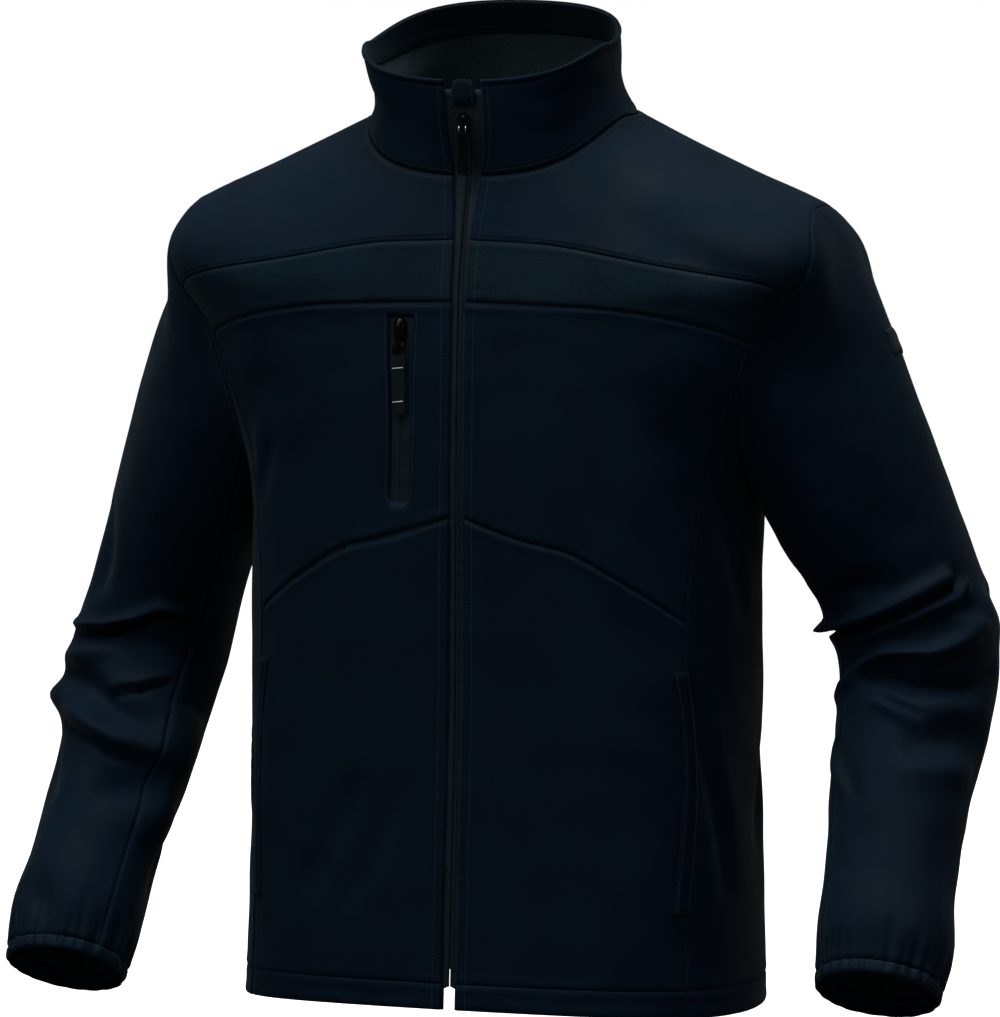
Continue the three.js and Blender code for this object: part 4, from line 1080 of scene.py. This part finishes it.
def build_collar():
    s = shares(540, 5)
    heights = COLLAR_TOP * shares(COLLAR_TOP, 3.2, 0.9, 9)
    form, normals, around, height = collar_grid(heights, s)
    rim = 0.9 * np.exp(-(((COLLAR_TOP - 2 - height) / 1.7) ** 2)) \
        - 0.7 * np.exp(-(((COLLAR_TOP - 5.4 - height) / 0.9) ** 2))
    relief = collar_relief(around, height) * np.clip(height / 12, 0, 1) + rim
    moved = relieve(form + normals * relief[..., None], normals, edges(FOLDED, FOLDED, SEWN),
                    [("left", 5, 2), ("right", 5, 2), ("bottom", 4, 1)], sizes().pucker)
    cloth("collar_cloth", moved, normals, [shell(), fleece()], sizes().cloth_wall, ["collar"])
    low = COLLAR_TOP - 24
    heights = low + 23.4 * shares(24, 3, 1, 6)
    points, normals, around, height = collar_grid(heights, s, 0.03)
    inner = points - normals * (WALL + 0.9)
    relief = collar_relief(around, height)
    inner = inner + normals * relief[..., None]
    moved = relieve(inner, -normals, edges(FOLDED, FOLDED, FOLDED), [("bottom", 2.2, 2)], 0.2)
    cloth("collar_facing_cloth", moved, -normals, [facing_cloth()], 0.8, ["collar_facing"])


# Tucks of the cuffs: angle, half width in degrees, how far up they run
TUCKS = {
    1: [(133, 3, 20), (119, 3.4, 26), (107, 3, 20), (97, 3, 30), (88, 3.2, 22), (79.5, 5, 30),
        (71, 3, 44), (56.5, 3.4, 24), (46, 5, 34), (33.5, 3.2, 26), (20, 4, 30), (4, 4, 24),
        (345, 4, 34), (328, 4, 26), (306, 5, 36), (284, 4, 28), (262, 4, 34), (240, 5, 26),
        (221, 4, 32), (204, 4, 24), (186, 4, 34), (168, 4, 24), (150, 3.5, 28)],
    -1: [(74.5, 2.6, 26), (86, 3, 46), (98, 4, 28), (110.5, 3.2, 26), (119.5, 3, 42),
         (137, 3.6, 26), (60, 4, 30), (45, 4, 24), (27, 4, 34), (8, 4, 26), (350, 4, 36),
         (331, 4, 24), (312, 5, 32), (290, 4, 28), (270, 4, 36), (250, 4, 26), (232, 5, 32),
         (214, 4, 24), (196, 4, 34), (178, 4, 28), (157, 4, 30)],
}


def tucks(side, angle, along):
    total = np.zeros(np.broadcast(angle, along).shape)
    up = SLEEVE_END - along
    for at, width, reach in TUCKS[side]:
        turn = np.mod(angle - at + 180, 360) - 180
        fall = np.clip(1 - up / reach, 0, 1) ** 0.8
        total -= 3.0 * fall * np.exp(-((turn / width) ** 2))
        total += 1.1 * fall * np.exp(-(((turn - 1.9 * width) / width) ** 2))
    return total


def build_sleeves():
    for side in (1, -1):
        name = side_name(side)
        for piece, start, end in (("sleeve_top", ELBOW_SEAM, 360 + INNER_SEAM),
                                  ("sleeve_under", INNER_SEAM, ELBOW_SEAM)):
            s = shares(SLEEVE_GIRTH * (end - start) / 360, 3.4)
            t = shares(610, 4.2)
            angle, along = np.meshgrid(start + (end - start) * s, SLEEVE_END * t)
            near = np.clip((along - 470) / 60, 0, 1)
            lift = tucks(side, angle, along) * near
            points, normals = sleeve_station(side, angle, along, lift)
            around, height = armhole_place(angle[0])
            body = ring_normal(BODY, side * around, height)
            normals[0] = unit(normals[0] + body)
            moved = relieve(points, normals, edges(SEWN, SEWN, SEWN, (0.8, 2)), [],
                            sizes().pucker)
            cloth(f"{piece}_cloth_{name}", moved, normals, [shell(), fleece()],
                  sizes().cloth_wall, [f"{piece}_{name}"])


def build_cuffs():
    """Bindings, as rows at a distance past the sleeve's end and out of it."""
    profile = [(-4, -2.2), (-1.5, -1.9), (-0.3, -0.8), (1.2, -0.1), (3.5, 0.2), (6, 0.2),
               (8.4, -0.2), (9.8, -1.1), (10, -2.4)]
    for side in (1, -1):
        angle = np.linspace(0, 360, 181)
        rows = []
        outward = []
        for down, lift in profile:
            wave = np.interp(down, [-4, 0, 10], [1, 0.8, 0.15]) \
                * tucks(side, angle, np.full_like(angle, SLEEVE_END)) \
                + 0.25 * ripple(np.stack([angle * 1.2, angle * 0, angle * 0 + down], -1), 40, 81)
            p, n = sleeve_station(side, angle, np.full_like(angle, SLEEVE_END), wave + lift)
            p[-1], n[-1] = p[0], n[0]
            rows.append(p + FOREARM * down)
            outward.append(n)
        points, normals = np.array(rows), np.array(outward)
        name = side_name(side)
        cloth(f"cuff_binding_cloth_{name}", points, normals, [shell()], 1.4,
              [f"cuff_binding_{name}"], ring=True)
        sew(points[3][::2], normals[3][::2])


# Zips and trims


def studs(name, matrices, material, nodes):
    """Many small rounded pieces: one icosphere, repeated and then put under each matrix."""
    bm = bmesh.new()
    bmesh.ops.create_icosphere(bm, subdivisions=1, radius=1)
    for face in bm.faces:
        face.smooth = True
    seed = bpy.data.meshes.new(name + "_seed")
    bm.to_mesh(seed)
    ball = np.array([v.co for v in bm.verts])
    for _ in range(len(matrices) - 1):
        bm.from_mesh(seed)
    piece = mesh_piece(name, bm, [material])
    bpy.data.meshes.remove(seed)
    under = np.array(matrices)
    placed_balls = ball @ np.swapaxes(under[:, :3, :3], 1, 2) + under[:, None, :3, 3]
    piece.data.vertices.foreach_set("co", placed_balls.ravel())
    piece.data.update()
    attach(piece, "jacket")
    if nodes:
        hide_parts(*nodes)


def stud_matrix(place, along, out, half_sizes):
    """The matrix, in metres, of a stud at a place, long in one way and flat in another."""
    along = unit(np.asarray(along, float))
    out = unit(out - along * np.dot(out, along))
    turned = np.stack([along, np.cross(out, along), out], axis=1) * np.asarray(half_sizes)
    matrix = np.eye(4)
    matrix[:3, :3] = turned * MM
    matrix[:3, 3] = place * MM
    return matrix


def centre_station(x, height):
    """The cloth's form near the zip, at a distance x from the centre plane."""
    x, height = np.broadcast_arrays(np.asarray(x, float), np.asarray(height, float))
    high = height > 0
    clipped = np.where(high, height, 0)
    low = np.minimum(height, 0)
    on_collar = centre_place(x, clipped, COLLAR)
    on_body = centre_place(x, low)
    p = np.where(high[..., None], ring_point(COLLAR, on_collar, clipped),
                 ring_point(BODY, on_body, low))
    n = np.where(high[..., None], ring_normal(COLLAR, on_collar, clipped),
                 ring_normal(BODY, on_body, low))
    return p, n


def build_front_zip():
    for side in (1, -1):
        heights = np.concatenate([np.linspace(HEM, -676, 6), np.linspace(-674, 66, 150)])
        inner = np.where(heights < -675, 4.5, 0.4)
        s = np.linspace(0, 1, 26)
        x = inner[:, None] + (18 - inner[:, None]) * s
        points, normals = centre_station(side * x, np.broadcast_to(heights[:, None], x.shape))
        ribs = 0.35 * np.exp(-(((x - 4.6) / 1.1) ** 2)) - 0.4 * np.exp(-(((x - 8.6) / 1.6) ** 2))
        points = points + normals * (ribs - WALL - 0.9)[..., None]
        cloth(f"zip_tape_cloth_{side_name(side)}", points, normals, [tape_cloth()], 0.9,
              [f"zip_tape_{side_name(side)}"])
    teeth("zip_coil_teeth", np.arange(-667, 30, sizes().tooth_pitch), centre_station, 1.75, 1.9,
          ["zip_coil"])
    build_garage()


def teeth(name, heights, station, out_by, under, nodes):
    """Two rows of teeth that meet in the middle, under the cloth's face."""
    made = []
    for side in (1, -1):
        shift = heights + (sizes().tooth_pitch / 2 if side > 0 else 0)
        p, n = station(np.full_like(shift, side * out_by), shift)
        q, _ = station(np.full_like(shift, side * out_by), shift + 1)
        for place, out, ahead in zip(p, n, q):
            up = unit(ahead - place)
            lean = np.array([side, 0, 0]) + 0.35 * up
            made.append(stud_matrix(place - out * under, lean, out, (out_by * 0.74, 0.42, 0.6)))
    coil = hard_material("moulded_teeth", tuple(colours().coil), 0.6, specular=0.03)
    studs(name, made, coil, nodes)


def build_garage():
    t = np.linspace(0, 1, 26)
    s = np.linspace(-1, 1, 25)
    height = 54 + 21.2 * t
    half = np.interp(t, [0, 0.1, 0.55, 0.8, 0.93, 1], [8.6, 9.2, 9.6, 8.6, 6.4, 3.8])
    x = half[:, None] * s
    h = np.broadcast_to(height[:, None], x.shape)
    points, normals = centre_station(x, h)
    edge = np.minimum(1 - np.abs(s)[None], 3 * np.minimum(t, 1 - t)[:, None] / 2)
    bulge = 1.5 * (1 - (1 - np.clip(edge * 2.2, 0, 1)) ** 2) - 0.9
    points = points + normals * bulge[..., None]
    moved = relieve(points, normals, {}, [("left", 2.2, 1.5), ("right", 2.2, 1.5)], 0.1)
    cloth("zip_garage_cloth", moved, normals, [shell()], 1.4, ["zip_garage"])


def build_chest_pocket():
    heights = np.linspace(POCKET_END - 8, POCKET_TOP + 9, 44)
    x = np.linspace(-10, 10, 17)
    grid_x, grid_h = np.meshgrid(x, heights)
    places = pocket_around(grid_h) + centre_place(grid_x, grid_h)
    points, normals = body_station(places, grid_h)
    lift = -WALL - 0.7 - 0.3 * np.exp(-((grid_x / 0.6) ** 2))
    points = points + normals * lift[..., None]
    cloth("chest_zip_tape_cloth", points, normals, [tape_cloth()], 0.9, ["chest_zip_tape"])

    def pocket_station(x, height):
        return body_station(pocket_around(height) + centre_place(x, height), height)

    teeth("chest_zip_teeth", np.arange(POCKET_END + 2, -198, sizes().tooth_pitch), pocket_station,
          1.4, WALL + 0.5, [])


def build_hand_pockets():
    t = shares(190, 4)
    s = shares(17, 2)
    height = -611 + 187 * t
    for side in (1, -1):
        end = smooth(PRINCESS, height)[:, 0]
        start = end - 17 / (math.pi * BODY_RADIUS) * 0.94
        around = side * (start[:, None] + (end - start)[:, None] * s)
        grid_h = np.broadcast_to(height[:, None], around.shape)
        points, normals = body_station(around, grid_h)
        points = points + normals * 1.3
        moved = relieve(points, normals, edges(FOLDED, (0.9, 1.6), FOLDED, FOLDED),
                        [("left", 2.2, 2), ("bottom", 2.2, 1), ("top", 2.2, 1)], 0.15)
        name = side_name(side)
        cloth(f"hand_pocket_welt_cloth_{name}", moved, normals, [welt_cloth()], 1.0,
              [f"hand_pocket_welt_{name}"])


def build_label():
    angle, along = np.meshgrid(np.linspace(-26.4, 6.6, 26), np.linspace(87, 102, 12))
    points, normals = sleeve_station(1, angle, along)
    points = points + normals * 1.1
    moved = relieve(points, normals, edges(FOLDED, FOLDED, FOLDED, FOLDED),
                    [("left", 1.6, 1), ("right", 1.6, 1)], 0.1)
    cloth("sleeve_label_cloth", moved, normals, [label_cloth()], 0.9, ["sleeve_label"])


# Hinge of each pull and the way across it, in mm, as in the CAD's record
PULLS = {
    "front": ((0, -104.898, -7.122), (1, 0, 0)),
    "chest": ((-46.831, -120.839, -173.533), (0.99917, -0.04062, 0)),
}


def pull_place(pull, x, y, out):
    """Places on a pull at rest: across, up from its hinge and out of the cloth."""
    hinge, across = (np.array(v) for v in PULLS[pull])
    x, y, out = (np.asarray(v, float)[..., None] for v in np.broadcast_arrays(x, y, out))
    front = np.cross(across, (0, 0, 1))
    return hinge + across * x + np.array([0, 0, 1.0]) * y + front * out


def tab_grid(width, top, end, corner, step=0.7):
    """A tab's face with a round lower end: places across and up, and shares across."""
    y = np.concatenate([np.arange(end, end + corner, step / 2), np.arange(end + corner, top, step),
                        [top]])
    drop = np.clip((end + corner - y) / corner, 0, 1)
    half = width / 2 * np.sqrt(np.clip(1 - drop ** 2 * 0.75, 0.05, 1))
    s = np.linspace(-1, 1, 19)
    grid_y = np.broadcast_to(y[:, None], (len(y), len(s)))
    return half[:, None] * s, grid_y, np.broadcast_to(s, grid_y.shape)


def hard_tab(name, pull, x, y, out, material, thick, nodes):
    points = pull_place(pull, x, y, out)
    facing = np.broadcast_to(np.cross(PULLS[pull][1], (0, 0, 1)), points.shape)
    piece = grid_piece(name, points, facing, [material], thick)
    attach(piece, f"{pull}_pull")
    if nodes:
        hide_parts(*nodes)


def bars(name, pull, ends, radius, material):
    """Round bars on a pull, each from one place to another."""
    bm = bmesh.new()
    for start, end in ends:
        a, b = pull_place(pull, *start) * MM, pull_place(pull, *end) * MM
        way = Vector(b - a)
        turn = way.to_track_quat("Z", "Y").to_matrix().to_4x4()
        bmesh.ops.create_cone(bm, cap_ends=True, segments=16, radius1=radius * MM,
                              radius2=radius * MM, depth=way.length,
                              matrix=Matrix.Translation(Vector((a + b) / 2)) @ turn)
    for face in bm.faces:
        face.smooth = len(face.verts) == 4
    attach(mesh_piece(name, bm, [material]), f"{pull}_pull")


def build_hardware():
    black = hard_material("black_enamel", tuple(colours().hardware), 0.16, specular=0.1)
    moulded = hard_material("moulded_puller", tuple(colours().puller), 0.5, specular=0.05)
    polished = hard_material("polished_wire", (0.5, 0.52, 0.55), 0.14, metallic=1.0)
    for node, bevel in (("zip_slider", 0.35), ("chest_zip_slider", 0.5)):
        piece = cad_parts[node]
        piece.data.materials.clear()
        piece.data.materials.append(black)
        weld = piece.modifiers.new("Weld", "WELD")
        weld.merge_threshold = 1e-6
        rounding = piece.modifiers.new("Rounded edges", "BEVEL")
        rounding.width = bevel * MM
        rounding.segments = 3
        rounding.limit_method = "ANGLE"
        rounding.angle_limit = math.radians(35)
        rounding.harden_normals = True
    build_front_pull(black, moulded, polished)
    build_chest_pull(black)


def build_front_pull(black, moulded, polished):
    """A moulded tab with a plain sunken face, on a wire bail."""
    top, end = -6, -38
    x, y, s = tab_grid(7, top, end, 3)
    rim = np.minimum(1 - np.abs(s), np.minimum(top - y, y - end) / 3.5)
    rounded = -0.5 * np.clip(1 - rim / 0.12, 0, 1) ** 2
    sunken = -0.4 * np.clip((rim - 0.3) / 0.1, 0, 1)
    hard_tab("zip_pull_tab", "front", x, y, 0.9 + rounded + sunken, moulded, 1.7, ["zip_pull"])
    bars("zip_pull_bail", "front", [((-2.9, 0, 0), (2.9, 0, 0))]
         + [((side * 2.7, 0, 0), (side * 2.5, -6.4, 0)) for side in (-1, 1)], 0.55, black)
    bars("zip_pull_shine", "front",
         [((side * 2.7, -0.8, 0.35), (side * 2.55, -5.0, 0.45)) for side in (-1, 1)], 0.42,
         polished)


def build_chest_pull(black):
    """A woven strap with two pale bars, hanging from a moulded eye."""
    x, y, s = tab_grid(9.8, -8, -55, 1.2)
    edge = np.clip((np.abs(s) - 0.78) / 0.1, 0, 1)
    out = 0.7 + 0.25 * edge + 0.12 * ripple(np.stack([x, y, x * 0], -1), 9, 97)
    points = pull_place("chest", x, y, out)
    facing = np.broadcast_to(np.cross(PULLS["chest"][1], (0, 0, 1)), points.shape)
    cloth("chest_pull_strap", points, facing, [strap_cloth()], 1.4, ["chest_zip_pull"],
          body="chest_pull")
    x, y, s = tab_grid(9.6, -2, -9, 1)
    hard_tab("chest_pull_eye", "chest", x, y, 1.2 - 0.6 * np.abs(s) ** 3, black, 1.8, [])
    bars("chest_pull_bar", "chest", [((-4.2, 0, 0), (4.2, 0, 0)), ((-4, 0, 0), (-4, -4, 0)),
                                     ((4, 0, 0), (4, -4, 0))], 0.7, black)
    piping = hard_material("pale_bars", (0.42, 0.46, 0.5), 0.6, specular=0.2)
    bars("chest_pull_piping", "chest", [((-4.4, at - 0.5, 0.95), (4.4, at + 0.5, 0.95))
                                        for at in (-19.5, -45.5)], 0.42, piping)


def resampled(points, normals, pitch):
    step = np.linalg.norm(np.diff(points, axis=0), axis=1)
    at = np.concatenate([[0], np.cumsum(step)])
    count = int(at[-1] / pitch)
    if count < 1:
        return []
    where = (np.arange(count) + 0.5) * pitch
    place = np.stack([np.interp(where, at, points[:, i]) for i in range(3)], axis=-1)
    out = np.stack([np.interp(where, at, normals[:, i]) for i in range(3)], axis=-1)
    ahead = np.stack([np.interp(where + 0.5, at, points[:, i]) for i in range(3)], axis=-1)
    back = np.stack([np.interp(where - 0.5, at, points[:, i]) for i in range(3)], axis=-1)
    return list(zip(place, ahead - back, unit(out)))


def build_topstitching():
    if not SEWING:
        raise RuntimeError("the cloth pieces come before their topstitching")
    thread = hard_material("sewing_thread", tuple(colours().thread), 0.7, specular=0.05, scale=2500)
    made = []
    for points, normals, pitch in SEWING:
        for place, along, out in resampled(points, normals, pitch):
            if np.linalg.norm(along) < 1e-6:
                continue
            made.append(stud_matrix(place + out * 0.05, along, out, (pitch * 0.19, 0.4, 0.3)))
    studs("topstitching", made, thread, [])


# Stage

# The photograph's camera: degrees, and metres in the row frame
CAMERA_AZIMUTH = 19
CAMERA_ELEVATION = 5
CAMERA_DISTANCE = 5.0
CAMERA_AIM = -0.31
FRAME_PER_METRE = 1.274


def area_light(name, place, aim, size, power, colour):
    light = bpy.data.lights.new(name, "AREA")
    light.shape = "RECTANGLE"
    light.size, light.size_y = size
    light.energy = power
    light.color = colour
    lamp = bpy.data.objects.new(name, light)
    lamp.location = place
    lamp.rotation_euler = (Vector(aim) - Vector(place)).to_track_quat("-Z", "Y").to_euler()
    bpy.context.scene.collection.objects.link(lamp)


def build_world(strength):
    """An even sky that lights the jacket softly and is white where the camera sees it."""
    world = bpy.data.worlds.new("Soft daylight")
    bpy.context.scene.world = world
    world.use_nodes = True
    nodes, links = world.node_tree.nodes, world.node_tree.links
    sky = nodes["Background"]
    sky.inputs["Color"].default_value = (1, 1, 1, 1)
    seen = nodes.new("ShaderNodeLightPath").outputs["Is Camera Ray"]
    links.new(remap(nodes, links, seen, 0, 1, strength, 1), sky.inputs["Strength"])


def build_floor(settings):
    """A sheet of paper on a light table, which puts no light on the jacket."""
    bm = bmesh.new()
    bmesh.ops.create_grid(bm, x_segments=4, y_segments=4, size=12,
                          matrix=Matrix.Translation((0, 0, settings.floor_height)))
    floor = mesh_piece("studio_floor", bm, [])
    paper, nodes, links, shader = new_material("paper_floor")
    noise = nodes.new("ShaderNodeTexNoise")
    place = nodes.new("ShaderNodeTexCoord")
    links.new(place.outputs["Object"], noise.inputs["Vector"])
    noise.inputs["Scale"].default_value = 3
    base = tuple(settings.floor_colour)
    links.new(mix_colour(nodes, links, noise.outputs["Fac"], tuple(c * 0.985 for c in base), base),
              shader.inputs["Base Color"])
    shader.inputs["Roughness"].default_value = 0.95
    shader.inputs["Specular IOR Level"].default_value = 0.1
    shader.inputs["Emission Color"].default_value = (1, 1, 1, 1)
    shader.inputs["Emission Strength"].default_value = settings.glow
    floor.data.materials.append(paper)
    floor.visible_glossy = False
    floor.visible_diffuse = False


def build_camera():
    """The photograph's angle. Its frame holds 1 / FRAME_PER_METRE metres across at the jacket."""
    camera = bpy.data.cameras.new("Photo angle")
    camera.sensor_fit = "HORIZONTAL"
    camera.sensor_width = 36
    camera.lens = camera.sensor_width * FRAME_PER_METRE * CAMERA_DISTANCE
    camera.shift_x = -0.007
    azimuth, elevation = math.radians(CAMERA_AZIMUTH), math.radians(CAMERA_ELEVATION)
    back = Vector((math.sin(azimuth) * math.cos(elevation),
                   -math.cos(azimuth) * math.cos(elevation), math.sin(elevation)))
    seat = bpy.data.objects.new("Photo angle", camera)
    seat.location = Vector((0, 0, CAMERA_AIM)) + back * CAMERA_DISTANCE
    seat.rotation_euler = (-back).to_track_quat("-Z", "Y").to_euler()
    bpy.context.scene.collection.objects.link(seat)
    bpy.context.scene.camera = seat


def build_stage():
    settings = bpy.context.scene.jacket_stage
    bpy.context.scene.view_settings.view_transform = "Standard"
    build_world(settings.sky)
    build_floor(settings)
    area_light("Key", (-1.6, -2.6, 2.4), (0, 0, -0.3), (2.2, 1.6), settings.key, (1, 0.99, 0.97))
    area_light("Fill", (2.6, -2.2, 1.4), (0, 0, -0.35), (2.0, 2.0), settings.fill, (0.96, 0.98, 1))
    area_light("Top", (0.1, -0.5, 2.7), (0, 0, -0.2), (2.6, 1.8), settings.top, (1, 1, 1))
    build_camera()


# The add-on


def colour_setting(name, words, value):
    return bpy.props.FloatVectorProperty(
        name=name, description=words, default=value, subtype="COLOR", size=3, min=0, max=1)


class JacketSizes(bpy.types.PropertyGroup):
    cloth_wall: bpy.props.FloatProperty(
        name="Cloth", description="Thickness of the bonded cloth, in mm", default=1.2, min=0.4)
    pucker: bpy.props.FloatProperty(
        name="Pucker", description="Height of the puckers beside a seam, in mm", default=0.28)
    folds: bpy.props.FloatProperty(
        name="Folds", description="Depth of the sleeve's folds beside that of the solids",
        default=1.6, min=0)
    tooth_pitch: bpy.props.FloatProperty(
        name="Tooth pitch", description="Distance between the teeth of one side, in mm",
        default=1.15, min=0.8)


class JacketColours(bpy.types.PropertyGroup):
    shell: colour_setting("Shell", "Bonded cloth", (0.0005, 0.0043, 0.0128))
    band: colour_setting("Chest band", "Rougher cloth of the chest band", (0.0012, 0.0058, 0.0130))
    facing: colour_setting("Facing", "Collar facing and bindings", (0.0036, 0.0075, 0.0140))
    fleece: colour_setting("Fleece", "Inner face of the cloth", (0.0160, 0.0300, 0.0410))
    welt: colour_setting("Welt", "Hand pocket welts", (0.0007, 0.0028, 0.0100))
    tape: colour_setting("Zip tape", "Woven tape", (0.0070, 0.0116, 0.0172))
    coil: colour_setting("Coil", "Teeth of the zip", (0.0150, 0.0250, 0.0350))
    hardware: colour_setting("Sliders", "Enamelled sliders", (0.0014, 0.0016, 0.0022))
    puller: colour_setting("Pullers", "Moulded pullers", (0.0012, 0.0016, 0.0026))
    strap: colour_setting("Strap", "Strap of the chest puller", (0.0070, 0.0085, 0.0125))
    thread: colour_setting("Thread", "Topstitching", (0.0380, 0.0640, 0.0860))
    label: colour_setting("Label", "Small sleeve label", (0.0100, 0.0140, 0.0190))


class JacketStage(bpy.types.PropertyGroup):
    sky: bpy.props.FloatProperty(
        name="Sky", description="Strength of the even light", default=0.1, min=0)
    key: bpy.props.FloatProperty(
        name="Key", description="Power of the front light", default=42, min=0, unit="POWER")
    fill: bpy.props.FloatProperty(
        name="Fill", description="Power of the side light", default=6, min=0, unit="POWER")
    top: bpy.props.FloatProperty(
        name="Top", description="Power of the light overhead", default=120, min=0, unit="POWER")
    glow: bpy.props.FloatProperty(
        name="Floor light", description="Light of the floor itself, as from a light table",
        default=0.92, min=0)
    floor_height: bpy.props.FloatProperty(
        name="Floor", description="Height of the floor under the jacket", default=-0.86,
        unit="LENGTH")
    floor_colour: colour_setting("Floor colour", "Pale paper", (0.95, 0.95, 0.95))


class JACKET_OT_fronts(bpy.types.Operator):
    """Makes the yokes, chest bands, chest panels and lower fronts"""
    bl_idname = "jacket.fronts"
    bl_label = "Fronts"

    def execute(self, context):
        build_fronts()
        return {"FINISHED"}


class JACKET_OT_sides_and_back(bpy.types.Operator):
    """Makes the side panels, the back and their hems"""
    bl_idname = "jacket.sides_and_back"
    bl_label = "Sides and back"

    def execute(self, context):
        build_sides_and_back()
        return {"FINISHED"}


class JACKET_OT_collar(bpy.types.Operator):
    """Makes the stand collar and its facing"""
    bl_idname = "jacket.collar"
    bl_label = "Collar"

    def execute(self, context):
        build_collar()
        return {"FINISHED"}


class JACKET_OT_sleeves(bpy.types.Operator):
    """Makes the two-piece sleeves"""
    bl_idname = "jacket.sleeves"
    bl_label = "Sleeves"

    def execute(self, context):
        build_sleeves()
        return {"FINISHED"}


class JACKET_OT_cuffs(bpy.types.Operator):
    """Makes the cuff bindings"""
    bl_idname = "jacket.cuffs"
    bl_label = "Cuffs"

    def execute(self, context):
        build_cuffs()
        return {"FINISHED"}


class JACKET_OT_front_zip(bpy.types.Operator):
    """Makes the front zip's tapes, teeth and garage"""
    bl_idname = "jacket.front_zip"
    bl_label = "Front zip"

    def execute(self, context):
        build_front_zip()
        return {"FINISHED"}


class JACKET_OT_chest_pocket(bpy.types.Operator):
    """Makes the chest pocket's tape and teeth"""
    bl_idname = "jacket.chest_pocket"
    bl_label = "Chest pocket"

    def execute(self, context):
        build_chest_pocket()
        return {"FINISHED"}


class JACKET_OT_hand_pockets(bpy.types.Operator):
    """Makes the welts of the hand pockets"""
    bl_idname = "jacket.hand_pockets"
    bl_label = "Hand pockets"

    def execute(self, context):
        build_hand_pockets()
        return {"FINISHED"}


class JACKET_OT_label(bpy.types.Operator):
    """Makes the plain label on the sleeve"""
    bl_idname = "jacket.label"
    bl_label = "Label"

    def execute(self, context):
        build_label()
        return {"FINISHED"}


class JACKET_OT_hardware(bpy.types.Operator):
    """Finishes the sliders and makes the pulls"""
    bl_idname = "jacket.hardware"
    bl_label = "Hardware"

    def execute(self, context):
        build_hardware()
        return {"FINISHED"}


class JACKET_OT_topstitching(bpy.types.Operator):
    """Sews every line of stitches of the cloth pieces"""
    bl_idname = "jacket.topstitching"
    bl_label = "Topstitching"

    def execute(self, context):
        build_topstitching()
        return {"FINISHED"}


class JACKET_OT_stage(bpy.types.Operator):
    """Sets the floor, the lights and the camera"""
    bl_idname = "jacket.stage"
    bl_label = "Stage"

    def execute(self, context):
        build_stage()
        return {"FINISHED"}


OPERATORS = [
    JACKET_OT_fronts, JACKET_OT_sides_and_back, JACKET_OT_collar, JACKET_OT_sleeves,
    JACKET_OT_cuffs, JACKET_OT_front_zip, JACKET_OT_chest_pocket, JACKET_OT_hand_pockets,
    JACKET_OT_label, JACKET_OT_hardware, JACKET_OT_topstitching, JACKET_OT_stage,
]


class JACKET_PT_panel(bpy.types.Panel):
    bl_label = "Softshell jacket"
    bl_idname = "JACKET_PT_panel"
    bl_space_type = "VIEW_3D"
    bl_region_type = "UI"
    bl_category = "Jacket"

    def draw(self, context):
        for made in OPERATORS:
            self.layout.operator(made.bl_idname)


GROUPS = {"jacket_sizes": JacketSizes, "jacket_colours": JacketColours,
          "jacket_stage": JacketStage}
CLASSES = [*GROUPS.values(), *OPERATORS, JACKET_PT_panel]


def register():
    for made in CLASSES:
        bpy.utils.register_class(made)
    for name, group in GROUPS.items():
        setattr(bpy.types.Scene, name, bpy.props.PointerProperty(type=group))


def unregister():
    for name in GROUPS:
        delattr(bpy.types.Scene, name)
    for made in reversed(CLASSES):
        bpy.utils.unregister_class(made)


def main():
    register()
    for made in OPERATORS:
        getattr(bpy.ops.jacket, made.bl_idname.split(".")[1])()


if __name__ == "__main__":
    main()
